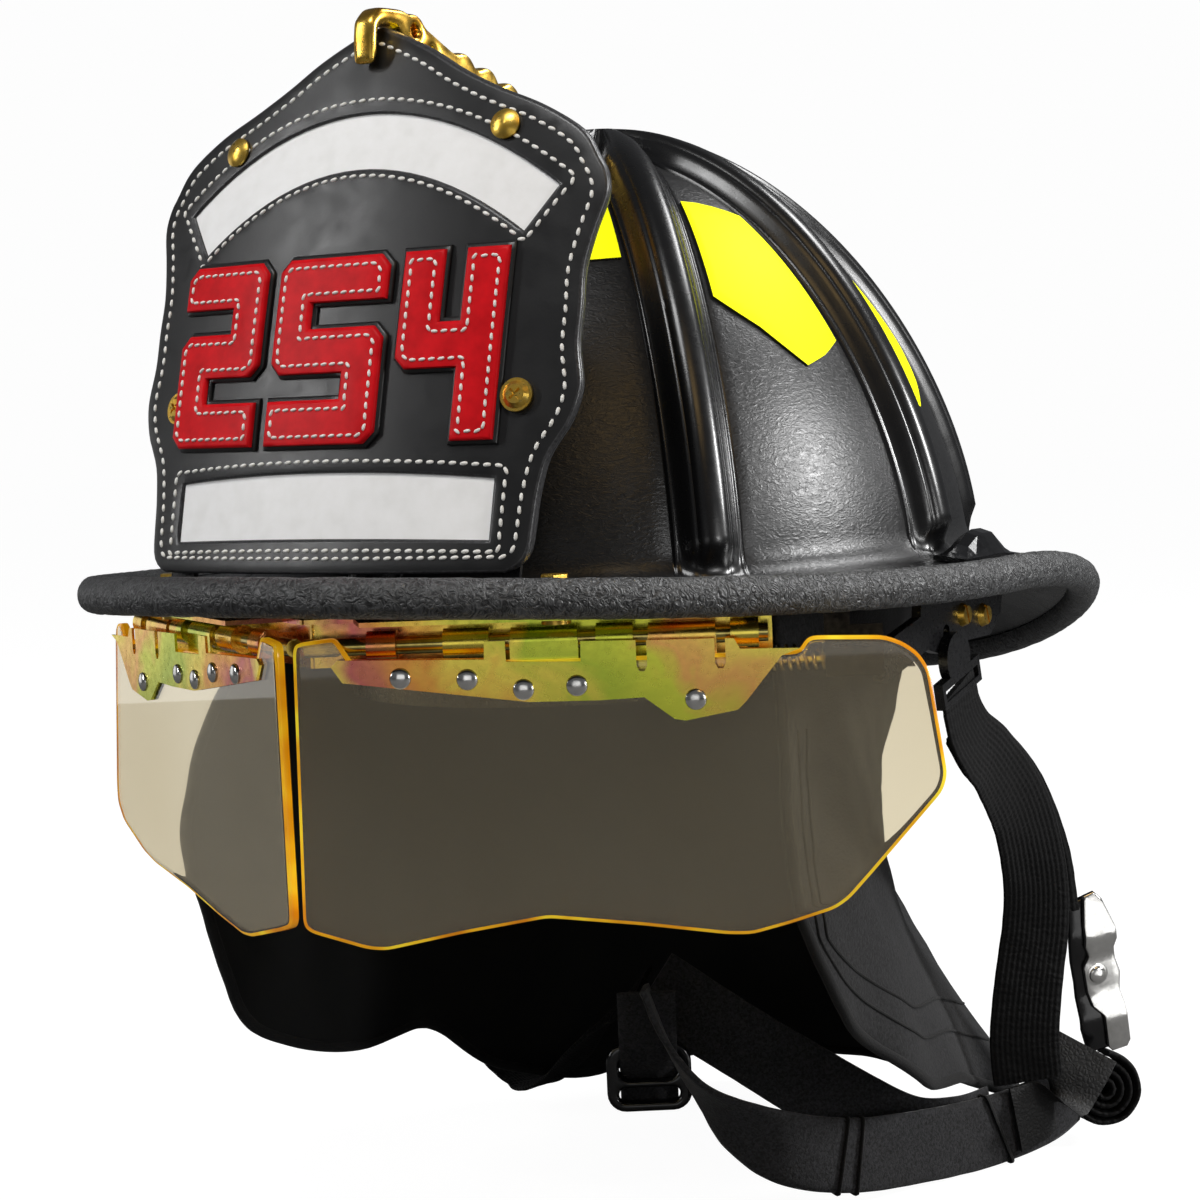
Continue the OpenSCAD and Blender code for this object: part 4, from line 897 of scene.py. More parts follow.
def make_shell(grained, smooth):
    """The moulded shell: brim, eight ribs, the grained panels between them, and its inside."""
    rises = np.array((RIB_RISE + [0.0] * (GAP_CUTS - 1)) * RIB_COUNT)
    foot = rib_columns(1)
    top = SHELL_WALL / 2
    rings = []
    for t in OUTER_TURNS:
        crown = np.clip((t - BOSS_START) / BOSS_BLEND, 0, 1) ** 2
        lift = (rises * (1 - crown) + crown) * RIB_HEIGHT
        rings.append(dome_point(dome_columns(t), t, lift))
    for t in FOOT_CURVE:
        rings.append(bend(brim_point(foot, BRIM_SHARES[0], top), foot_mid(foot, 0) + [0, 0, top],
                          dome_point(foot, OUTER_TURNS[-1], rises * RIB_HEIGHT), t))
    for f in BRIM_SHARES:
        rings.append(brim_point(foot, f, top))
    outer = len(rings)
    for f in [0.0, 0.3, 0.6, 1.0]:
        rings.append(brim_point(foot, f, -top))
    for t in INNER_TURNS:
        rings.append(dome_point(dome_columns(t), t, 0, SHELL_WALL))
    points, faces = loft(rings)
    columns = len(foot)
    on_rib = np.abs(rises) > 1e-6
    kinds = []
    for i in range(len(rings) - 1):
        # The grain stops where the foot turns into the brim
        grained_row = i < outer - len(BRIM_SHARES) - 1
        for j in range(columns):
            rib = on_rib[j] or on_rib[(j + 1) % columns]
            kinds.append(0 if grained_row and not rib else 1)
    kinds += [1] * (2 * columns)
    shell = make_piece("ribbed_shell", points, faces, [grained, smooth], sharp=50, kinds=kinds)
    return fit(shell, "shell_plastic", "shell")


# The bead is drawn in fine steps round the brim. It is sunk a little and uneven, as cured rubber is
BEAD_STEP = 0.75
BEAD_CUTS = 25
BEAD_WAVE = 7
BEAD_UNEVEN = 0.12
BEAD_SINK = 0.1


def make_bead(rubber):
    """The extruded rubber that grips the brim's edge."""
    open_angle = math.degrees(math.asin(BEAD_SLOT / BEAD_RADIUS))
    section = [(BEAD_RADIUS * cosd(w), BEAD_RADIUS * sind(w))
               for w in np.linspace(180 - open_angle, -180 + open_angle, BEAD_CUTS)]
    section += [(BEAD_FIT, -BEAD_SLOT), (BEAD_FIT, BEAD_SLOT)]
    angles = np.arange(0, 360, BEAD_STEP)
    middle, out, up = bead_mid(angles), brim_out(angles), brim_up(angles)
    points = np.concatenate([[m + o * s + u * h for s, h in section] for m, o, u in zip(middle, out, up)])
    n = len(section)
    uneven = ripple(points, BEAD_WAVE, 3) * BEAD_UNEVEN - BEAD_SINK
    centre = np.repeat(middle, n, axis=0)
    edge = np.tile([k < n - 2 for k in range(n)], len(angles))
    points = points + unit(points - centre) * (uneven * edge)[:, None]
    faces = loft([points[k * n:(k + 1) * n] for k in range(len(angles))], wrap=True)[1]
    return fit(make_piece("rubber_edge_bead", points, faces, rubber, sharp=60), "bead_rubber", "brim_bead")


# Outline of the films on the wearer's left, front to back: share of the panel, lower and upper angle
PATCH_NET = [
    [[0.04, 50, 64], [0.3, 49.8, 65], [0.6, 49.6, 65], [0.8, 49.8, 64.6], [0.97, 50, 64]],
    [[0.05, 43, 61.6], [0.34, 38.1, 61.2], [0.6, 32.2, 60.3], [0.78, 33.6, 59.4], [0.96, 35.7, 58.2]],
    [[0.04, 27.5, 58.2], [0.24, 25.2, 59.4], [0.45, 29, 60.3], [0.7, 35, 61.2], [0.96, 41, 61.6]],
    [[0.05, 41, 61.6], [0.34, 36, 61.2], [0.6, 30, 60.3], [0.78, 31, 59.4], [0.96, 33, 58.2]]]
# The film's gap to the dome under its face, its thickness there, and where its back lies
FILM_GAP = 0.4
FILM_THICK = 0.6
FILM_BED = 0.1
FILM_BEVEL = 0.25
FILM_ROWS = 20


def gap_angle(i, t, share):
    """Angle round the dome in the panel between rib i and the next, at a share of its width."""
    a, b = rib_half(i, float(dome_r(t))), rib_half((i + 1) % RIB_COUNT, float(dome_r(t)))
    return RIB_ANGLES[i] + a + (rib_gap(i) - a - b) * share


def make_films(film, edge):
    """Eight lime films on the panels, each a thin curved sheet whose cut edge is painted dark as shade."""
    parts, kinds = [], []
    for i in range(RIB_COUNT):
        left = i < RIB_COUNT // 2
        net = np.array(PATCH_NET[i if left else RIB_COUNT - 1 - i], float)
        shares = np.sort(np.concatenate([np.linspace(net[0, 0], net[-1, 0], 25), net[1:-1, 0]]))
        low, high = np.interp(shares, net[:, 0], net[:, 1]), np.interp(shares, net[:, 0], net[:, 2])
        front = np.zeros((FILM_ROWS, len(shares), 3))
        back = front.copy()
        for r in range(FILM_ROWS):
            for c, share in enumerate(shares):
                t = low[c] + (high[c] - low[c]) * r / (FILM_ROWS - 1)
                a = gap_angle(i, t, share if left else 1 - share)
                rim = r in (0, FILM_ROWS - 1) or c in (0, len(shares) - 1)
                front[r, c] = dome_point(a, t, FILM_GAP + FILM_THICK - (FILM_BEVEL if rim else 0))
                back[r, c] = dome_point(a, t, FILM_BED)
        points, faces = sheet_skin(front, back)
        parts.append((points, faces))
        flat = (FILM_ROWS - 1) * (len(shares) - 1)
        kinds += [0] * flat + [1] * (len(faces) - flat)
    points, faces = joined(parts)
    films = make_piece("lime_reflective_films", points, faces, [film, edge], kinds=kinds)
    return fit(films, "reflective_sheet", "reflective_patches")


# ---- Leather front shield ----
# Half outline of the shield from foot to tip: share of its height, share of its half width
SHIELD_ROWS = [
    (0, 0.76), (0.01, 0.805), (0.035, 0.84), (0.09, 0.85), (0.13, 0.855), (0.19, 0.875), (0.225, 0.91),
    (0.255, 0.945), (0.295, 0.969), (0.33, 0.972), (0.39, 0.951), (0.455, 0.951), (0.52, 0.946),
    (0.587, 0.968), (0.652, 1), (0.695, 0.985), (0.72, 0.955), (0.772, 0.885), (0.825, 0.72),
    (0.865, 0.54), (0.905, 0.385), (0.945, 0.255), (0.98, 0.115), (1, 0.02)]


def shield_place(x, z, depth):
    """A point of the shield: x across, z up, and depth behind its front face."""
    x, z = np.asarray(x, float), np.asarray(z, float)
    a = np.arcsin(x / SHIELD_RADIUS)
    lean = SHIELD_SLOPE * z - SHIELD_FOOT + z ** 3 / SHIELD_SWEEP ** 2
    radius = SHIELD_RADIUS - depth
    return np.stack([np.sin(a) * radius, lean + SHIELD_RADIUS - radius * np.cos(a), z + 0 * x], axis=-1)


def shield_outline():
    """The shield's own outline, rounded, counter-clockwise from its lower left."""
    side = spline([(SHIELD_HALF * w, SHIELD_BASE + SHIELD_HEIGHT * z) for z, w in SHIELD_ROWS], 4)
    side = even_steps(side, 2.2)
    return np.vstack([side, (side * [-1, 1])[::-1]])


def bowed(x_low, z_low, x_high, z_high, rise_low, rise_high):
    """A panel outline with straight ends and bowed long sides. Each side rises by its rise at the middle."""
    across = np.linspace(-1, 1, 25)
    low = [(x_low * c, z_low + rise_low * (1 - c * c)) for c in across]
    high = [(x_high * c, z_high + rise_high * (1 - c * c)) for c in across[::-1]]
    return np.array(low + high)


# Windows of the white panels, and the runs of stitching that frame them
UPPER_PANEL = bowed(55.8, 101.7, 64.4, 113.6, 20.6, 24.1)
UPPER_FRAME = bowed(56.4, 98.8, 69.0, 115.4, 21.6, 26.4)
LOWER_PANEL = bowed(54.1, 20.1, 54.2, 36.2, 0.9, 2.6)
LOWER_FRAME = bowed(57.2, 17.0, 57.6, 39.4, 0.9, 2.6)
# Black facing leather stands on the base leather, with a window over each white panel
FACING = 1.7


def make_shield(leather, edge):
    """Facing leather with two bevelled windows, stitched on a thicker base leather."""
    rounded = [(0.9, 0.0), (0.35, 0.2), (0.0, 0.75), (0.0, FACING)]
    face = cut_plate(shield_outline(), [UPPER_PANEL, LOWER_PANEL], rounded, shield_place)
    base_edge = [(0.4, FACING), (0.05, FACING + 0.35), (0.05, SHIELD_LEATHER - 0.6), (0.6, SHIELD_LEATHER)]
    base = cut_plate(shield_outline(), [], base_edge, shield_place, step=5)
    points, faces = joined([face[:2], base[:2]])
    piece = make_piece("leather_front_shield", points, faces, [leather, edge], sharp=55,
                       kinds=face[2] + base[2])
    return fit(piece, "shield_leather", "front_shield")


def make_panels(white):
    """White leather panels, left bare, set back in the windows of the facing."""
    profile = [(0.0, FACING - 0.75), (-0.5, FACING - 0.05)]
    parts = [cut_plate(outline, [], profile, shield_place)[:2] for outline in (UPPER_PANEL, LOWER_PANEL)]
    points, faces = joined(parts)
    return fit(make_piece("white_shield_panels", points, faces, white), "shield_leather")


def glyph(shape, left, right, low, high, stroke):
    """A block numeral of 10 or 12 corners, with its outer corners cut off."""
    width, height = right - left, high - low
    sx, sy = stroke / width, stroke / height
    down, up = (1 - sy) / 2, (1 + sy) / 2
    two = [(0, 0), (1, 0), (1, sy), (sx, sy), (sx, down), (1, down), (1, 1), (0, 1), (0, 1 - sy),
           (1 - sx, 1 - sy), (1 - sx, up), (0, up)]
    four = [(1 - sx, 0), (1, 0), (1, 1), (1 - sx, 1), (1 - sx, up), (sx, up), (sx, 1), (0, 1), (0, down),
            (1 - sx, down)]
    shapes = {"two": (two, (0, 5, 6, 7, 11)),
              "five": ([(1 - x, y) for x, y in two][::-1], (11, 6, 5, 4, 0)),
              "four": (four, (8,))}
    corners, cut = shapes[shape]
    corners = [np.array((left + x * width, low + y * height)) for x, y in corners]
    out = []
    for i, p in enumerate(corners):
        if i in cut:
            before, after = corners[i - 1], corners[(i + 1) % len(corners)]
            out += [p + unit(before - p) * NUMERAL_CORNER, p + unit(after - p) * NUMERAL_CORNER]
        else:
            out.append(p)
    return np.array(out)


# Each numeral: shape, left and right end
NUMERALS = [("two", -58.6, -25.6), ("five", -20.4, 17.4), ("four", 22.2, 53.6)]
NUMERAL_LOW = 46.5
NUMERAL_HIGH = 98.0
NUMERAL_STROKE = 12.4
NUMERAL_CORNER = 3.2
NUMERAL_TOP = -2.6
NUMERAL_EDGE = [(1.1, NUMERAL_TOP), (0.4, -2.45), (0.0, -1.9), (0.0, -1.1)]
BACKING_EDGE = [(0.5, -1.15), (0.0, -0.7), (0.0, 0.05)]
BACKING_WIDER = 1.1
STITCH_HEIGHT = 0.6
STITCH_PITCH = 3.4
STITCH_DEPTH = 0.05
STITCH_LEAN = 0.14
BORDER_INSET = 4.2
NUMERAL_PITCH = 2.9
NUMERAL_INSET = 2.5


def numeral_outlines():
    return [glyph(s, a, b, NUMERAL_LOW, NUMERAL_HIGH, NUMERAL_STROKE) for s, a, b in NUMERALS]


def make_numerals(red, dark):
    """Plain red block numerals of leather, raised on a black backing that shows round their edges."""
    reds, blacks = [], []
    for outline in numeral_outlines():
        reds.append(cut_plate(outline, [], NUMERAL_EDGE, shield_place)[:2])
        wide = inset(dense(outline, 40), -BACKING_WIDER)
        blacks.append(cut_plate(wide, [], BACKING_EDGE, shield_place)[:2])
    numerals = make_piece("red_block_numerals", *joined(reds), red, sharp=50)
    backing = make_piece("numeral_backing", *joined(blacks), dark, sharp=50)
    fit(numerals, "shield_leather")
    fit(backing, "shield_leather")


def stitch(length, width, height):
    """One plump stitch along X, pointed at both ends, lying on the face with +Z outwards."""
    rings = []
    for share in (-1, -0.82, -0.45, 0, 0.45, 0.82, 1):
        size = math.sqrt(max(1 - share ** 2, 0)) ** 0.8 + 0.02
        rings.append([(share * length / 2, math.cos(w) * width / 2 * size, math.sin(w) * height * size)
                      for w in np.linspace(0, 2 * math.pi, 9)[:-1]])
    return loft(rings)


def stitch_run(loop, pitch, depth, length=2.35, width=1.15):
    """Stitches that follow a closed flat loop on the shield, a pitch apart."""
    line = even_steps(loop, pitch, closed=True)
    seed = stitch(length, width, STITCH_HEIGHT)
    parts = []
    for k, (x, z) in enumerate(line):
        before, after = line[k - 1], line[(k + 1) % len(line)]
        p = shield_place(x, z, depth)
        ahead = unit(shield_place(*after, depth) - shield_place(*before, depth))
        out = unit(p - shield_place(x, z, depth + 1))
        side = unit(np.cross(out, ahead))
        lean = unit(ahead + STITCH_LEAN * side)
        side = np.cross(out, lean)
        parts.append(moved(seed, p, lean, side, out))
    return parts


def make_stitching(thread):
    """Every run of white stitching: the shield's border, both frames, and inside each numeral."""
    parts = []
    for loop in (inset(shield_outline(), BORDER_INSET), dense(UPPER_FRAME, 2), dense(LOWER_FRAME, 2)):
        parts += stitch_run(loop, STITCH_PITCH, STITCH_DEPTH)
    for outline in numeral_outlines():
        parts += stitch_run(inset(outline, NUMERAL_INSET), NUMERAL_PITCH, NUMERAL_TOP, length=2.1, width=0.95)
    return fit(make_piece("white_stitching", *joined(parts), thread, sharp=80), "shield_leather")


# ---- Eye shields ----
def eye_place(side):
    """Carries local x, y, z of one eye shield to the helmet: x along its pin, -y out through the lens."""
    c, s = cosd(LENS_ANGLE), sind(LENS_ANGLE)

    def place(x, y, z):
        x, y, z = np.broadcast_arrays(np.asarray(x, float), np.asarray(y, float), np.asarray(z, float))
        return np.stack([side * (x * c - y * s), x * s + y * c - LENS_APEX, z], axis=-1)
    return place


# Outlines of the two lenses: x along the pin from the middle of the helmet, z up from the pin
LENS_LEFT = [
    (1.6, -81.5), (2.6, -8), (3.6, -6), (13.3, -5), (14.6, -5.6), (19, -12.8), (138, -12.8), (140, -9.8),
    (142, -9), (160.5, -9.6), (165.5, -11.5), (169.5, -14.5), (172.2, -19), (175.9, -47), (174.5, -51.5),
    (155.5, -72.5), (149, -79.5), (145, -82.2), (133, -85.8), (122.6, -88.4), (116, -88.2), (94, -85.2),
    (68, -82.4), (45, -86), (24, -90), (19, -89.6), (4, -84.8), (2.2, -83.4)]
LENS_RIGHT = [
    (1.6, -81.5), (2.6, -8), (3.6, -6), (13.3, -5), (14.6, -5.6), (19, -12.8), (128, -12.8), (130, -9.8),
    (131, -8), (136.4, -8.4), (138, -12), (145.2, -60), (145, -66), (140, -71.5), (123, -78.4),
    (113, -80.8), (84, -84.4), (60, -88.6), (40, -91.4), (33, -91), (10, -85.6), (3, -83.6)]


def round_corners(loop, size):
    """Cuts each corner of a loop and bends it with three points."""
    loop = np.asarray(loop, float)
    out = []
    for i, p in enumerate(loop):
        before, after = loop[i - 1], loop[(i + 1) % len(loop)]
        a = min(size, 0.4 * np.linalg.norm(before - p))
        b = min(size, 0.4 * np.linalg.norm(after - p))
        start, end = p + unit(before - p) * a, p + unit(after - p) * b
        out += [start, bend(start, p, end, 0.33), bend(start, p, end, 0.67), end]
    return np.array(out)


LENS_CORNER = 2.2


def make_lenses(clear, glow):
    """Clear lenses whose cut edges have a painted glow."""
    half = LENS_THICK / 2
    profile = [(2.6, -half), (1.9, -half), (0.9, -half + 0.1), (0.0, -half + 0.6), (0.0, half - 0.6),
               (0.9, half - 0.1), (1.9, half), (2.6, half)]
    for name, side, outline in (("left", 1, LENS_LEFT), ("right", -1, LENS_RIGHT)):
        place = eye_place(side)
        loop = round_corners(outline, LENS_CORNER)
        points, faces, kinds = cut_plate(loop, [], profile, lambda x, z, d: place(x, d, z), step=12,
                                         spacing=6, border=2)
        lens = make_piece("clear_lens_" + name, points, faces, [clear, glow], sharp=60, kinds=kinds)
        fit(lens, "lens_clear", "lens_" + name, body="eye_shield_" + name)


def dome_head(radius, height):
    """A rivet head, round on top over a low upright rim."""
    rim = 0.18
    outline = [(0.01, 0.0), (radius, 0.0), (radius, height * rim)]
    for k in range(1, 7):
        w = math.pi / 2 * k / 6
        outline.append((max(radius * math.cos(w), 0.01), height * (rim + (1 - rim) * math.sin(w))))
    return turned(outline, 28)


# Rivets along a lens plate: x and z of each, then radius and height of their heads outside and inside
RIVET_SPOTS = [(31.5, -16.3), (49.5, -17.2), (64.5, -20.4), (78.8, -19.8), (110.3, -24.6)]
OUTER_HEAD = (2.9, 1.2)
INNER_HEAD = (2.5, 0.9)
PLATE_THICK = 0.8
SPRING_DEPTH = 28.76
SPRING_Z = -17.6
SPRING_RADIUS = 3.2
SPRING_WIRE = 0.55
SPRING_TURNS = 10
SPRING_START = 127
SPRING_END = 150


def make_plate_rivets(steel):
    """Domed rivets through the lens and its two plates."""
    face = LENS_THICK / 2 + PLATE_THICK
    for name, side in (("left", 1), ("right", -1)):
        place = eye_place(side)
        centre = place(0, 0, 0)
        x_axis, y_axis = place(1, 0, 0) - centre, place(0, 1, 0) - centre
        parts = []
        for x, z in RIVET_SPOTS:
            parts.append(moved(dome_head(*OUTER_HEAD), place(x, -face, z), x_axis, (0, 0, 1), -y_axis))
            parts.append(moved(dome_head(*INNER_HEAD), place(x, face, z), x_axis, (0, 0, 1), y_axis))
        rivets = make_piece("lens_rivets_" + name, *joined(parts), steel)
        fit(rivets, "plated_steel", "plate_rivets_" + name, body="eye_shield_" + name)


def make_springs(wire):
    """Tension springs, wound from round wire."""
    steps = SPRING_TURNS * 20
    for name, side in (("left", 1), ("right", -1)):
        w = np.linspace(0, 2 * math.pi * SPRING_TURNS, steps + 1)
        x = np.linspace(SPRING_START, SPRING_END, steps + 1)
        line = eye_place(side)(x, SPRING_DEPTH + SPRING_RADIUS * np.cos(w),
                               SPRING_Z + SPRING_RADIUS * np.sin(w))
        spring = make_piece("wound_spring_" + name, *along(line, circle(SPRING_WIRE, 8)), wire)
        fit(spring, "plated_steel", "tension_spring_" + name)


# ---- Ear cover and chin strap ----
# The cover's columns from the left front round the back: angle, then points down to the hem
COVER_NET = [
    [62, [85, -40, -38], [86, -40, -72], [86, -34, -100]],
    [72, [85, -23, -38], [86, -23, -80], [88, -17, -130]],
    [85, [84, 2, -40], [85, 2, -90], [90, 4, -147]],
    [98, [79, 27, -46], [80, 26, -98], [95, 30, -163]],
    [112, [71, 51, -52], [71, 50, -100], [89, 65, -171]],
    [125, [57, 81, -54], [51, 80, -104], [91, 105, -186]],
    [140, [43, 112, -56], [32, 106, -108], [62, 129, -189]],
    [158, [24, 132, -56], [15, 119, -108], [30, 143, -190]],
    [180, [0, 137, -54], [0, 124, -108], [0, 147, -190]],
    [202, [-24, 132, -56], [-18, 120, -106], [-28, 138, -189]],
    [220, [-47, 111, -54], [-46, 104, -104], [-56, 118, -190]],
    [235, [-65, 81, -50], [-68, 78, -102], [-78, 84, -191]],
    [248, [-79, 54, -48], [-82, 52, -98], [-90, 50, -180]],
    [262, [-86, 26, -48], [-90, 24, -95], [-94, 20, -160]],
    [275, [-90, -4, -46], [-95, -10, -90], [-98, -14, -160]],
    [288, [-92, -34, -44], [-97, -44, -88], [-99, -50, -150]],
    [300, [-92, -58, -42], [-97, -72, -86], [-97, -77, -133]],
    [310, [-92, -78, -32], [-97, -92, -66], [-97, -93, -92]]]
COVER_SIDE = 91
COVER_FRONT = 100
COVER_BACK = 129
COVER_TOP = 5.2
COVER_THICK = 2.4
# Its folds and creases: how wide and how deep. Its edges are thinner by a share
FOLD_SIZE = 34
FOLD_DEPTH = 1.5
CREASE_SIZE = 16
CREASE_DEPTH = 0.35
COVER_EDGE = 0.55
BINDING_RADIUS = 1.9
WELT_RADIUS = 0.55
WELT_INSETS = (4, 6)


def cover_surface():
    """Middle surface of the ear cover: rows from top to hem, columns from the left front round the back."""
    columns = []
    for angle, *rest in COVER_NET:
        reach = COVER_FRONT if cosd(angle) > 0 else COVER_BACK
        top = [COVER_SIDE * sind(angle), DOME_Y - reach * cosd(angle), COVER_TOP]
        columns.append(spline([top] + rest, 14))
    columns = np.array(columns)
    grid = np.array([spline(columns[:, r], 8) for r in range(columns.shape[1])])
    return grid


def surface_normals(grid):
    down = np.gradient(grid, axis=0)
    across = np.gradient(grid, axis=1)
    return unit(np.cross(down, across))


def make_ear_cover(cloth, lining, binding):
    """The hanging ear and neck cover, soft folds growing towards its bound hem."""
    grid = cover_surface()
    rows, cols = grid.shape[:2]
    down = np.linspace(0, 1, rows)[:, None]
    flat = grid.reshape(-1, 3)
    soft = ripple(flat * [1, 1, 0.35], FOLD_SIZE, 11).reshape(rows, cols) * FOLD_DEPTH * down ** 1.5
    soft += ripple(flat, CREASE_SIZE, 12).reshape(rows, cols) * CREASE_DEPTH
    way = surface_normals(grid)
    grid = grid + way * soft[..., None]
    way = surface_normals(grid)
    edge = np.ones((rows, cols))
    edge[[0, -1]] = COVER_EDGE
    edge[:, [0, -1]] = COVER_EDGE
    half = COVER_THICK / 2 * edge[..., None]
    points, faces = sheet_skin(grid + way * half, grid - way * half)
    kinds = [0 if max(face) < rows * cols else 1 for face in faces]
    cover = fit(make_piece("hanging_ear_cover", points, faces, [cloth, lining], sharp=70, kinds=kinds),
                "cover_cloth", "ear_cover")
    hem = np.vstack([grid[8:, 0], grid[-1, 1:], grid[-2:7:-1, -1]])
    rim = make_piece("ear_cover_binding", *along(even_steps(hem, 2.5), circle(BINDING_RADIUS, 10)), binding)
    fit(rim, "cover_cloth")
    outer = grid + way * (COVER_THICK / 2 + 0.1)
    welts = []
    for inward in WELT_INSETS:
        line = np.vstack([outer[16:-inward, inward], outer[-inward - 1, inward + 1:40]])
        welts.append(along(even_steps(line, 2), circle(WELT_RADIUS, 8)))
    welt = fit(make_piece("ear_cover_welt", *joined(welts), binding), "cover_cloth")


# The strap lug hangs on the bracket beside the dome, slanted back, with its slot LUG_DROP below its pin
BRACKET_X = DOME_HALF_WIDTH + 10.1
BRACKET_PLATE = 3
LUG_THICK = 3
LUG_Y = 4
LUG_Z = -26
LUG_SLANT = 14
LUG_DROP = 12.4
LUG_WIDE = (0, cosd(LUG_SLANT), sind(LUG_SLANT))
WEB_START = [(BRACKET_X + BRACKET_PLATE + SEAT + LUG_THICK / 2, LUG_Y + LUG_DROP * sind(LUG_SLANT),
              LUG_Z - LUG_DROP * cosd(LUG_SLANT)), LUG_WIDE]
# Each route lists a strap's middle points with the direction of its width
WEBBING_ROUTE = [
    [(119.1, 5.6, -34.2), LUG_WIDE], WEB_START, [(119.4, 9.4, -45), (0, 0.95, 0.3)],
    [(119, 19, -54), (0, 0.85, 0.5)], [(118.5, 32, -62), (0.15, 0.8, 0.55)],
    [(115.5, 56.5, -80.3), (0.4, 0.8, 0.4)], [(112.5, 72.5, -102.7), (0.6, 0.8, 0.2)],
    [(109.5, 79, -120.8), (0.7, 0.7, 0.1)], [(106, 79.5, -142), (0.75, 0.65, 0)],
    [(103.8, 80, -160), (0.78, 0.6, -0.1)], [(103.4, 82.6, -174.7), (0.78, 0.6, 0)]]
BAND_ROUTE = [
    [(112.5, 101, -182), (0.36, 0.25, 0.9)], [(107, 90, -185.5), (0.15, 0.1, 1)],
    [(96, 71, -189), (0, 0, 1)], [(86, 44, -188), (0, 0, 1)], [(74, 15, -185), (0, 0, 1)],
    [(62, -5, -179), (0.1, -0.1, 1)], [(48, -14, -170), (0.3, -0.4, 0.8)],
    [(36, -17, -159), (0.5, -0.7, 0.4)], [(26, -18, -145), (0.5, -0.8, 0.2)],
    [(20, -19, -129), (0.5, -0.85, 0)]]
INNER_ROUTE = [
    [(93, 73.7, -188), (0, 0, 1)], [(88.3, 59.7, -188.4), (0, 0, 1)], [(76, 50, -187.2), (0, 0, 1)],
    [(60, 42, -178.5), (0, 0, 1)], [(38, 30, -162.5), (0.1, 0, 1)], [(13, 21, -146), (0.2, 0.1, 1)],
    [(2, 14, -137), (0.3, 0.3, 0.9)]]
FAR_ROUTE = [
    [(-WEB_START[0][0], WEB_START[0][1], WEB_START[0][2]), WEB_START[1]],
    [(-119.4, 9.4, -45), (0, 1, 0.25)], [(-118, 16, -60), (0, 1, 0.2)], [(-116, 30, -90), (0, 1, 0.3)],
    [(-112, 52, -132), (0, 1, 0.2)], [(-106, 67, -172), (0, 1, 0)], [(-90, 73, -193), (0, 1, -0.1)],
    [(-66, 60, -183), (0, 1, 0)], [(-40, 36, -165), (0.05, 0.95, 0.15)],
    [(-20, 20, -151), (0.1, 0.9, 0.3)], [(-2.7, 14.4, -138.7), (0.3, 0.6, 0.7)]]
# The webbing's tail is rolled up, inwards from its outer turn, seen as in the photograph
ROLL_CENTRE = np.array([113.6, 115.8, -184])
ROLL_RIGHT = np.array([0.84, 0.54, -0.04])
ROLL_UP = np.array([0, 0.08, 1.0])
ROLL_WIDE = (0.62, -0.77, 0.12)
ROLL_RADIUS = 12.2
ROLL_STEPS = 74
ROLL_TURN = 18
ROLL_SHRINK = 0.14
TAIL_ROUTE = []
for step in range(ROLL_STEPS):
    turn = 80 - ROLL_TURN * step
    across = ROLL_RIGHT * cosd(turn) + ROLL_UP * sind(turn)
    TAIL_ROUTE.append((tuple(ROLL_CENTRE + across * (ROLL_RADIUS - step * ROLL_SHRINK)), ROLL_WIDE))
FOLD_ROUTE = [
    [(101.4, 75.9, -186.5), (0, 0, 1)], [(106.5, 83.5, -184.5), (0.3, 0.2, 0.9)],
    [(111.5, 89.0, -180), (0.75, 0.45, 0.45)], [(115.6, 92.5, -172.5), (0.84, 0.54, -0.05)],
    [(118.6, 96.5, -165), (0.84, 0.5, -0.3)]]


# The share of its thickness that a strap keeps at its edges, and the steps to each stretch of its route
STRAP_EDGE = 0.45
STRAP_CUTS = 12


def strap_frame(route, spacing):
    """Middle line of a strap with its side and face directions, at even steps."""
    line = spline([p for p, w in route], STRAP_CUTS)
    wide = spline([w for p, w in route], STRAP_CUTS)
    both = even_steps(np.hstack([line, wide * 1e-6]), spacing)
    line, wide = both[:, :3], both[:, 3:] * 1e6
    way = unit(np.gradient(line, axis=0))
    side = unit(wide - way * (wide * way).sum(axis=1)[:, None])
    return line, side, np.cross(way, side)


def make_strap(name, route, width, thick, material, ribs=0, spacing=1.6, rib_depth=0.3, bound=0.0,
               shift=None):
    """A woven strap along a route, with lengthways ribs on both faces. bound thickens its edges.

    shift moves it off the route: across, further across towards its end, and off its face."""
    line, side, face = strap_frame(route, spacing)
    if shift:
        share = np.linspace(0, 1, len(line))[:, None]
        line = line + side * (shift[0] + shift[1] * share ** 2) + face * shift[2]
    cross = max(ribs * 4, 14)
    across = np.linspace(-1, 1, cross + 1)
    body = thick / 2 * (STRAP_EDGE + (1 - STRAP_EDGE) * np.sqrt(np.clip(1 - np.abs(across) ** 7, 0, 1)))
    if ribs:
        furrow = 0.5 - 0.5 * np.cos(2 * math.pi * ribs * (across + 1) / 2)
        body = body - rib_depth * furrow * (np.abs(across) < 0.97)
    body = body + bound * np.exp(-((np.abs(across) - 0.93) / 0.05) ** 2)
    middle = line[:, None] + side[:, None] * (across * width / 2)[None, :, None]
    lift = face[:, None] * body[None, :, None]
    wave = ripple(middle.reshape(-1, 3), 9, 21).reshape(middle.shape[:2])[..., None] * 0.12 * face[:, None]
    points, faces = sheet_skin(middle + lift + wave, middle - lift + wave)
    run = np.concatenate([[0], np.cumsum(np.linalg.norm(np.diff(line, axis=0), axis=1))])
    flat = np.stack(np.broadcast_arrays(run[:, None], across[None, :] * width / 2), axis=-1) * MM
    flat = flat.reshape(-1, 2)
    strap = make_piece(name, points, faces, material, sharp=75, flat_map=np.vstack([flat, flat]))
    return strap, float(run[-1])


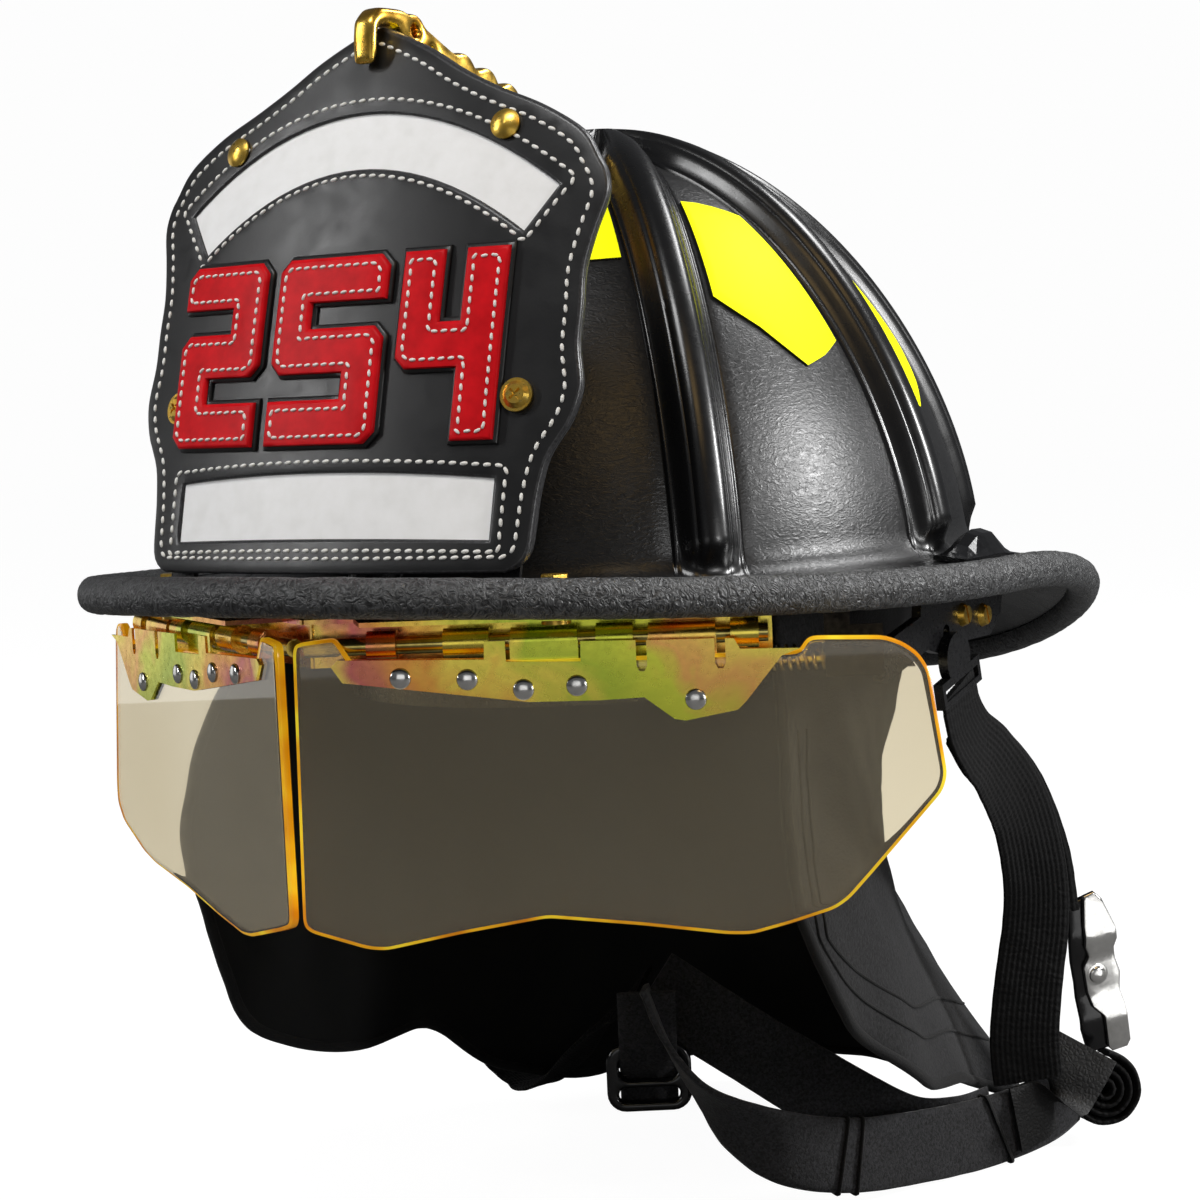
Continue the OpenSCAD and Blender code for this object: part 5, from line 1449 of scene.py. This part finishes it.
def make_seam(name, route, share, width, thick, wide, material, slant):
    """A folded seam that wraps round a band at a share of its length."""
    line, side, face = strap_frame(route, 0.8)
    k = int(share * (len(line) - 1))
    way = unit(line[min(k + 2, len(line) - 1)] - line[max(k - 2, 0)])
    reach = width / 2 + 0.15
    ring = []
    for across, lift in [(-reach, 1), (reach, 1), (reach, -1), (-reach, -1)]:
        ring.append(line[k] + side[k] * across + way * slant * across + face[k] * lift * (thick / 2 + 0.35))
    loop = even_steps(np.array(ring), 1.2, closed=True)
    fold = [(math.cos(w) * wide / 2, math.sin(w) * 0.45) for w in np.linspace(0, 2 * math.pi, 9)[:-1]]
    return make_piece(name, *along(loop, fold, closed=True, up=way), material)


# The slide hangs at its place, turned about the upright and leant back. Its plate is bent along its height
SLIDE_PLACE = (121.3, 100, -140)
SLIDE_TURN = 48
SLIDE_LEAN = 14
SLIDE_BENDS = [-29, -17, -9, 4, 13, 27]
SLIDE_BEND_DEPTHS = [-0.5, -1.7, 0.6, 0.6, -1.5, 0.4]
SLIDE_RIGHT = [
    (5.0, 24.6), (8.0, 14.2), (8.3, 9.8), (7.1, 6.6), (7.3, 2.0), (8.4, -3.0), (7.4, -9.4), (7.9, -13.0),
    (8.4, -27.4), (7.0, -29.6)]
SLIDE_LEFT = [
    (1.6, -29.8), (0.2, -28.0), (-0.2, -16.0), (-3.2, -12.2), (-4.2, -7.0), (-4.4, 1.8), (-2.2, 5.4),
    (-3.4, 9.4), (-3.0, 17.0)]
SLIDE_PLATE = [(-1.2, 27.0), (2.6, 27.6)] + SLIDE_RIGHT + SLIDE_LEFT
SLIDE_PLATE_EDGE = [(0.8, -0.9), (0.25, -0.78), (0.0, -0.35), (0.0, 0.35), (0.5, 0.8)]
SLIDE_BODY_EDGE = [(0.9, 0.9), (0.2, 1.2), (0.0, 1.8), (0.0, 2.8), (0.7, 3.4)]
SLIDE_BODY = [
    (-6.2, 25.0), (1.0, 26.0), (3.0, 12.0), (3.4, -12.0), (3.8, -27.0), (1.0, -29.0), (-6.4, -29.0),
    (-8.0, -20.0), (-7.4, -4.0), (-8.0, 12.0)]


def slide_place(x, z, depth):
    """A point of the slide: x across, z along it and a depth behind its pressed face."""
    x, z = np.asarray(x, float), np.asarray(z, float)
    y = depth + np.interp(z, SLIDE_BENDS, SLIDE_BEND_DEPTHS)
    x, y = x * cosd(SLIDE_TURN) - y * sind(SLIDE_TURN), x * sind(SLIDE_TURN) + y * cosd(SLIDE_TURN)
    y, z = y * cosd(SLIDE_LEAN) - z * sind(SLIDE_LEAN), y * sind(SLIDE_LEAN) + z * cosd(SLIDE_LEAN)
    return np.stack([x, y, z], axis=-1) + SLIDE_PLACE


def make_slide(steel, plastic):
    """Pressed steel slide of the near webbing, bent twice, with its rivet, on a black moulded body."""
    plate = cut_plate(SLIDE_PLATE, [], SLIDE_PLATE_EDGE, slide_place, step=2, spacing=1.6)[:2]
    block = cut_plate(SLIDE_BODY, [], SLIDE_BODY_EDGE, slide_place, step=3, spacing=2)[:2]
    fit(make_piece("slide_body", *block, plastic, sharp=45), "black_plastic")
    centre = slide_place(0, -1.5, 0)
    x_axis = unit(slide_place(1, -1.5, 0) - centre)
    z_axis = unit(slide_place(0, -0.5, 0) - centre)
    out = np.cross(x_axis, z_axis)
    rivet = moved(dome_head(3.0, 1.5), centre + out * 0.7, x_axis, z_axis, out)
    lip = moved(turned([(0.01, 0), (3.9, 0), (3.9, 0.35), (3.3, 0.6), (0.01, 0.6)]), centre + out * 0.5,
                x_axis, z_axis, out)
    slide = make_piece("pressed_strap_slide", *joined([plate, rivet, lip]), steel, sharp=45)
    return fit(slide, "plated_steel", "strap_slide")


RING_PLACE = (14.3, -9.4, -160)
RING_TURN = 33
RING_WIDE = (cosd(RING_TURN), sind(RING_TURN), 0)
RING_EDGE = [(1.15, -2.0), (0.4, -1.65), (0.0, -0.9), (0.0, 0.9), (0.4, 1.65), (1.15, 2.0)]
RING_STEPS = 7
RING_TAB_WIDE = 18.4


def ring_place(x, z, depth):
    """A point of the strap ring: x across, z up and a depth behind its middle."""
    x, z = np.asarray(x, float), np.asarray(z, float)
    return np.stack([x * cosd(RING_TURN) - depth * sind(RING_TURN),
                     x * sind(RING_TURN) + depth * cosd(RING_TURN), z], axis=-1) + RING_PLACE


def rounded_box(width, height, radius, z=0.0):
    """Outline of a box with rounded corners, z above the ring's middle."""
    outline = []
    for side, top, start in ((1, 1, 0), (-1, 1, 90), (-1, -1, 180), (1, -1, 270)):
        for turn in np.linspace(start, start + 90, RING_STEPS):
            outline.append((side * (width / 2 - radius) + radius * cosd(turn),
                            z + top * (height / 2 - radius) + radius * sind(turn)))
    return outline


def make_ring(plastic):
    """Moulded strap ring: round bars about an upper window for the band and a slot below it."""
    windows = [rounded_box(19, 8.6, 3.8, 3.4), rounded_box(19.5, 4.6, 2.2, -5.6)]
    ring = cut_plate(rounded_box(27, 22, 6), windows, RING_EDGE, ring_place, step=2, spacing=0.8)[:2]
    return fit(make_piece("moulded_strap_ring", *ring, plastic, sharp=60), "black_plastic", "strap_ring")


# The tab comes down from the band's end, in front of the ring's top bar, and is sewn up behind the slot
RING_TAB_ROUTE = [(ring_place(0, z, depth), RING_WIDE) for z, depth in (
    (29, -9.0), (19, -5.5), (10.5, -3.5), (4.2, -0.2), (-1.5, 3.3), (-9.6, 3.3))]


# The casting's remeshed grain in millimetres, and how strongly and how often its edges are run round
CAST_GRAIN = 0.7
CAST_SOFTNESS = 0.6
CAST_ROUNDS = 45


def make_holder(brass):
    """The cast front holder: the frame's own shape, its edges run round as sand casting leaves them."""
    piece = bpy.data.objects.new("cast_front_holder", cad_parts["front_holder"].data.copy())
    scene.collection.objects.link(piece)
    piece.data.materials.clear()
    piece.data.materials.append(brass)
    grain = piece.modifiers.new("even_grain", "REMESH")
    grain.mode = "VOXEL"
    grain.voxel_size = CAST_GRAIN * MM
    grain.use_smooth_shade = True
    soften = piece.modifiers.new("cast_edges", "SMOOTH")
    soften.factor = CAST_SOFTNESS
    soften.iterations = CAST_ROUNDS
    return fit(piece, "brass", "front_holder")


# ---- Fitting inside the shell ----
BAND_X = DOME_HALF_WIDTH - 27.5
BAND_Y = (DOME_FRONT + DOME_BACK) / 2 - 34.75
# Each crown strap: its turn round the head and how much higher it crosses than the lowest
CROWN_TURNS = [(0, 0.0), (45, 2.9), (-45, 5.8)]
CROWN_INSET = 1.5
CROWN_WIDE = 19
CROWN_THICK = 1.2
CROWN_FOOT = -7
CROWN_RISE = 104.6
# The brow pad reaches from one turn to the other round the headband's front
PAD_TURNS = (-121.5, -58.5)
PAD_INSET = 3.0
PAD_LOW = -29.0
PAD_HIGH = -5.5
PAD_HALF = 1.5
# The cap's angles above the foot, and how far its outside and inside lie within the dome
CAP_TURNS = (87, 80, 70, 60, 50, 40, 30, 20, 11, 3)
CAP_OUTSIDE = 4.2
CAP_INSIDE = 16.6


def make_crown_straps(webbing):
    """Three webbing straps that cross over the head, each a little above the one below."""
    for k, (turn, lift) in enumerate(CROWN_TURNS):
        x = (BAND_X - CROWN_INSET) * cosd(turn)
        y = (BAND_Y - CROWN_INSET) * sind(turn)
        w = unit([-BAND_X * sind(turn), BAND_Y * cosd(turn), 0])
        route = []
        for t in np.linspace(0, 180, 19):
            route.append([(x * cosd(t), DOME_Y + y * cosd(t), CROWN_FOOT + (CROWN_RISE + lift) * sind(t)), w])
        strap, length = make_strap("crown_strap_%d" % k, route, CROWN_WIDE, CROWN_THICK, webbing, 9, 2.5,
                                   rib_depth=0.15)
        fit(strap, "webbing", "crown_straps")


def make_cap(foam):
    """Moulded foam cap that fills the dome and leaves the room for the head."""
    around = np.arange(0, 360, 4)
    outer = [dome_point(around, t, 0, CAP_OUTSIDE) for t in CAP_TURNS]
    inner = [dome_point(around, t, 0, CAP_INSIDE) for t in reversed(CAP_TURNS)]
    cap = make_piece("moulded_impact_cap", *loft(outer + inner), foam, sharp=50)
    return fit(cap, "cap_foam", "impact_cap")


def swell(piece, voxel, cap):
    """Fills a closed pad by cloth pressure, moves no point more than cap millimetres, and smooths it once."""
    even = piece.modifiers.new("even_weave", "REMESH")
    even.mode = "VOXEL"
    even.voxel_size = voxel * MM
    graph = bpy.context.evaluated_depsgraph_get()
    piece.data = bpy.data.meshes.new_from_object(piece.evaluated_get(graph))
    piece.modifiers.clear()
    count = len(piece.data.vertices)
    before = np.empty(count * 3)
    piece.data.vertices.foreach_get("co", before)
    filling = piece.modifiers.new("filling", "CLOTH")
    filling.settings.use_pressure = True
    filling.settings.uniform_pressure_force = 4
    filling.settings.effector_weights.gravity = 0
    for step in range(1, 21):
        scene.frame_set(step)
    graph = bpy.context.evaluated_depsgraph_get()
    after = np.empty(count * 3)
    piece.evaluated_get(graph).data.vertices.foreach_get("co", after)
    piece.modifiers.clear()
    scene.frame_set(1)
    move = (after - before).reshape(-1, 3)
    size = np.linalg.norm(move, axis=1, keepdims=True)
    move *= np.minimum(1, cap * MM / np.maximum(size, 1e-9))
    piece.data.vertices.foreach_set("co", before + move.ravel())
    piece.data.shade_smooth()
    rounding = piece.modifiers.new("soft_skin", "SUBSURF")
    rounding.levels = 1
    rounding.render_levels = 1


def make_brow_pad(lining):
    """Padded brow lining, curved along the front of the headband."""
    turns = np.radians(np.linspace(*PAD_TURNS, 30))
    rings = []
    for w in turns:
        out = np.array([np.cos(w) * (BAND_X - PAD_INSET), DOME_Y + np.sin(w) * (BAND_Y - PAD_INSET), 0])
        way = unit([np.cos(w), np.sin(w) * BAND_X / BAND_Y, 0])
        taper = min(1, 0.35 + 4 * min(w - turns[0], turns[-1] - w))
        rings.append([out + way * PAD_HALF * taper * np.cos(k)
                      + np.array([0, 0, (PAD_LOW + PAD_HIGH) / 2 + (PAD_HIGH - PAD_LOW) / 2 * np.sin(k)])
                      for k in np.linspace(0, 2 * math.pi, 17)[:-1]])
    pad = make_piece("padded_brow_lining", *loft(rings), lining, sharp=80)
    swell(pad, 1.6, 0.8)
    fit(pad, "pad_cloth", "brow_pad")


# ---- Everything together ----
set_camera()
set_studio()

plastic = moulded_nylon("black_moulded_nylon", 0.3)
gloss_plastic = moulded_nylon("glossy_black_nylon", 0.16)
leather = shield_leather()
cut_edge = leather_edge()
brass = cast_brass()
screw_brass = turned_brass()
chromate = chromated_steel()
nickel = bright_steel()
black_steel = black_plated_steel()
rod_steel = pin_steel()
webbing_nylon = ribbed_webbing()
cover_cloth = woven_cloth("flame_resistant_cotton", "#050506", "#212123", 1.1)
binding_cloth = woven_cloth("cotton_binding", "#070708", "#0d0d0e", 0.45)
band_cloth = woven_cloth("brushed_band_cloth", "#050506", "#2a2a2d", 0.9, 0.1)
creased_cloth = creased_facing()
lining_cloth = woven_cloth("soft_brow_lining", "#141415", "#1d1d1f", 0.7)

make_shell(grained_shell(), smooth_shell())
make_bead(bead_rubber())
make_films(reflective_film(), film_edge_painted_shade())
make_shield(leather, cut_edge)
make_panels(panel_leather("white_panel_leather", "#f6f6f5", "#ffffff", 0.34))
make_numerals(panel_leather("red_numeral_leather", "#bd0a14", "#dc121c", 0.42), leather)
make_stitching(waxed_thread())
make_lenses(lens_sheet(), lens_edge())
make_plate_rivets(nickel)
make_springs(spring_wire())

dress("shield_fasteners", screw_brass, 0.3)
dress("shield_tabs", plastic, 0.3)
make_holder(brass)
dress("eyeshield_rail", chromate)
dress("rail_posts", screw_brass)
for hand in ("left", "right"):
    dress("hinge_pin_" + hand, rod_steel, 0.5)
    dress("outer_plate_" + hand, chromate, 0.2)
    dress("inner_plate_" + hand, chromate, 0.2)
    dress("spring_rod_" + hand, chromate)
    dress("slotted_plate_" + hand, black_steel, 0.5)
    dress("clip_cover_" + hand, gloss_plastic, 0.8)
    dress("strap_bracket_" + hand, plastic, 0.6)
    dress("bracket_screws_" + hand, screw_brass)
    dress("strap_lug_" + hand, plastic, 0.6)
make_cap(cap_foam())
make_brow_pad(lining_cloth)
make_crown_straps(webbing_nylon)
dress("headband", plastic, 0.4)
dress("strap_keys", plastic, 0.4)
dress("ratchet_housing", plastic, 0.5)
dress("ratchet_knob", plastic, 0.6)
make_slide(nickel, gloss_plastic)
make_ring(gloss_plastic)

make_ear_cover(cover_cloth, lining_film(), binding_cloth)

BAND_WIDTH = STRAP_WIDTH + 0.5
SECOND_WIDTH = STRAP_WIDTH - 1
# Each strap: route, width, thickness, material, ribs, edge binding, finish, the node it replaces, its holder
straps = {
    "near_chin_webbing": (WEBBING_ROUTE, STRAP_WIDTH, 2.2, webbing_nylon, 13, 0, "webbing", "chin_webbing",
                          "strap_lug_left"),
    "far_chin_webbing": (FAR_ROUTE, SECOND_WIDTH, 2.0, webbing_nylon, 13, 0, "webbing", "chin_webbing_far",
                         "strap_lug_right"),
    "webbing_tail": (TAIL_ROUTE, STRAP_WIDTH - 4, 2.2, webbing_nylon, 11, 0, "webbing", "chin_tail",
                     "strap_slide"),
    "bound_chin_band": (BAND_ROUTE, BAND_WIDTH, 2.2, band_cloth, 0, 0.35, "band_cloth", "chin_band",
                        "strap_ring"),
    "folded_band_end": (FOLD_ROUTE, SECOND_WIDTH, 1.6, creased_cloth, 0, 0.3, "band_cloth", None,
                        "strap_slide"),
    "inner_chin_band": (INNER_ROUTE, STRAP_WIDTH + 2, 1.8, band_cloth, 0, 0.2, "band_cloth",
                        "chin_inner_band", "strap_ring"),
    "ring_tab": (RING_TAB_ROUTE, RING_TAB_WIDE, 1.6, band_cloth, 0, 0.2, "band_cloth", None, "strap_ring")}
for name, (route, width, thick, material, ribs, bound, slot, node, carrier) in straps.items():
    strap, length = make_strap(name, route, width, thick, material, ribs, bound=bound)
    fit(strap, slot, *([node] if node else []))
second, length = make_strap("returning_chin_webbing", WEBBING_ROUTE[2:-3], SECOND_WIDTH, 2.0, webbing_nylon,
                            12, shift=(1.6, 3.6, -2.6))
fit(second, "webbing")
for name, share, wide, slant in (("band_seam_0", 0.50, 1.6, 0.0), ("band_seam_1", 0.535, 1.6, 0.0),
                                 ("band_fold_seam", 0.18, 2.0, 0.35)):
    fit(make_seam(name, BAND_ROUTE, share, BAND_WIDTH, 2.6, wide, binding_cloth, slant), "band_cloth")
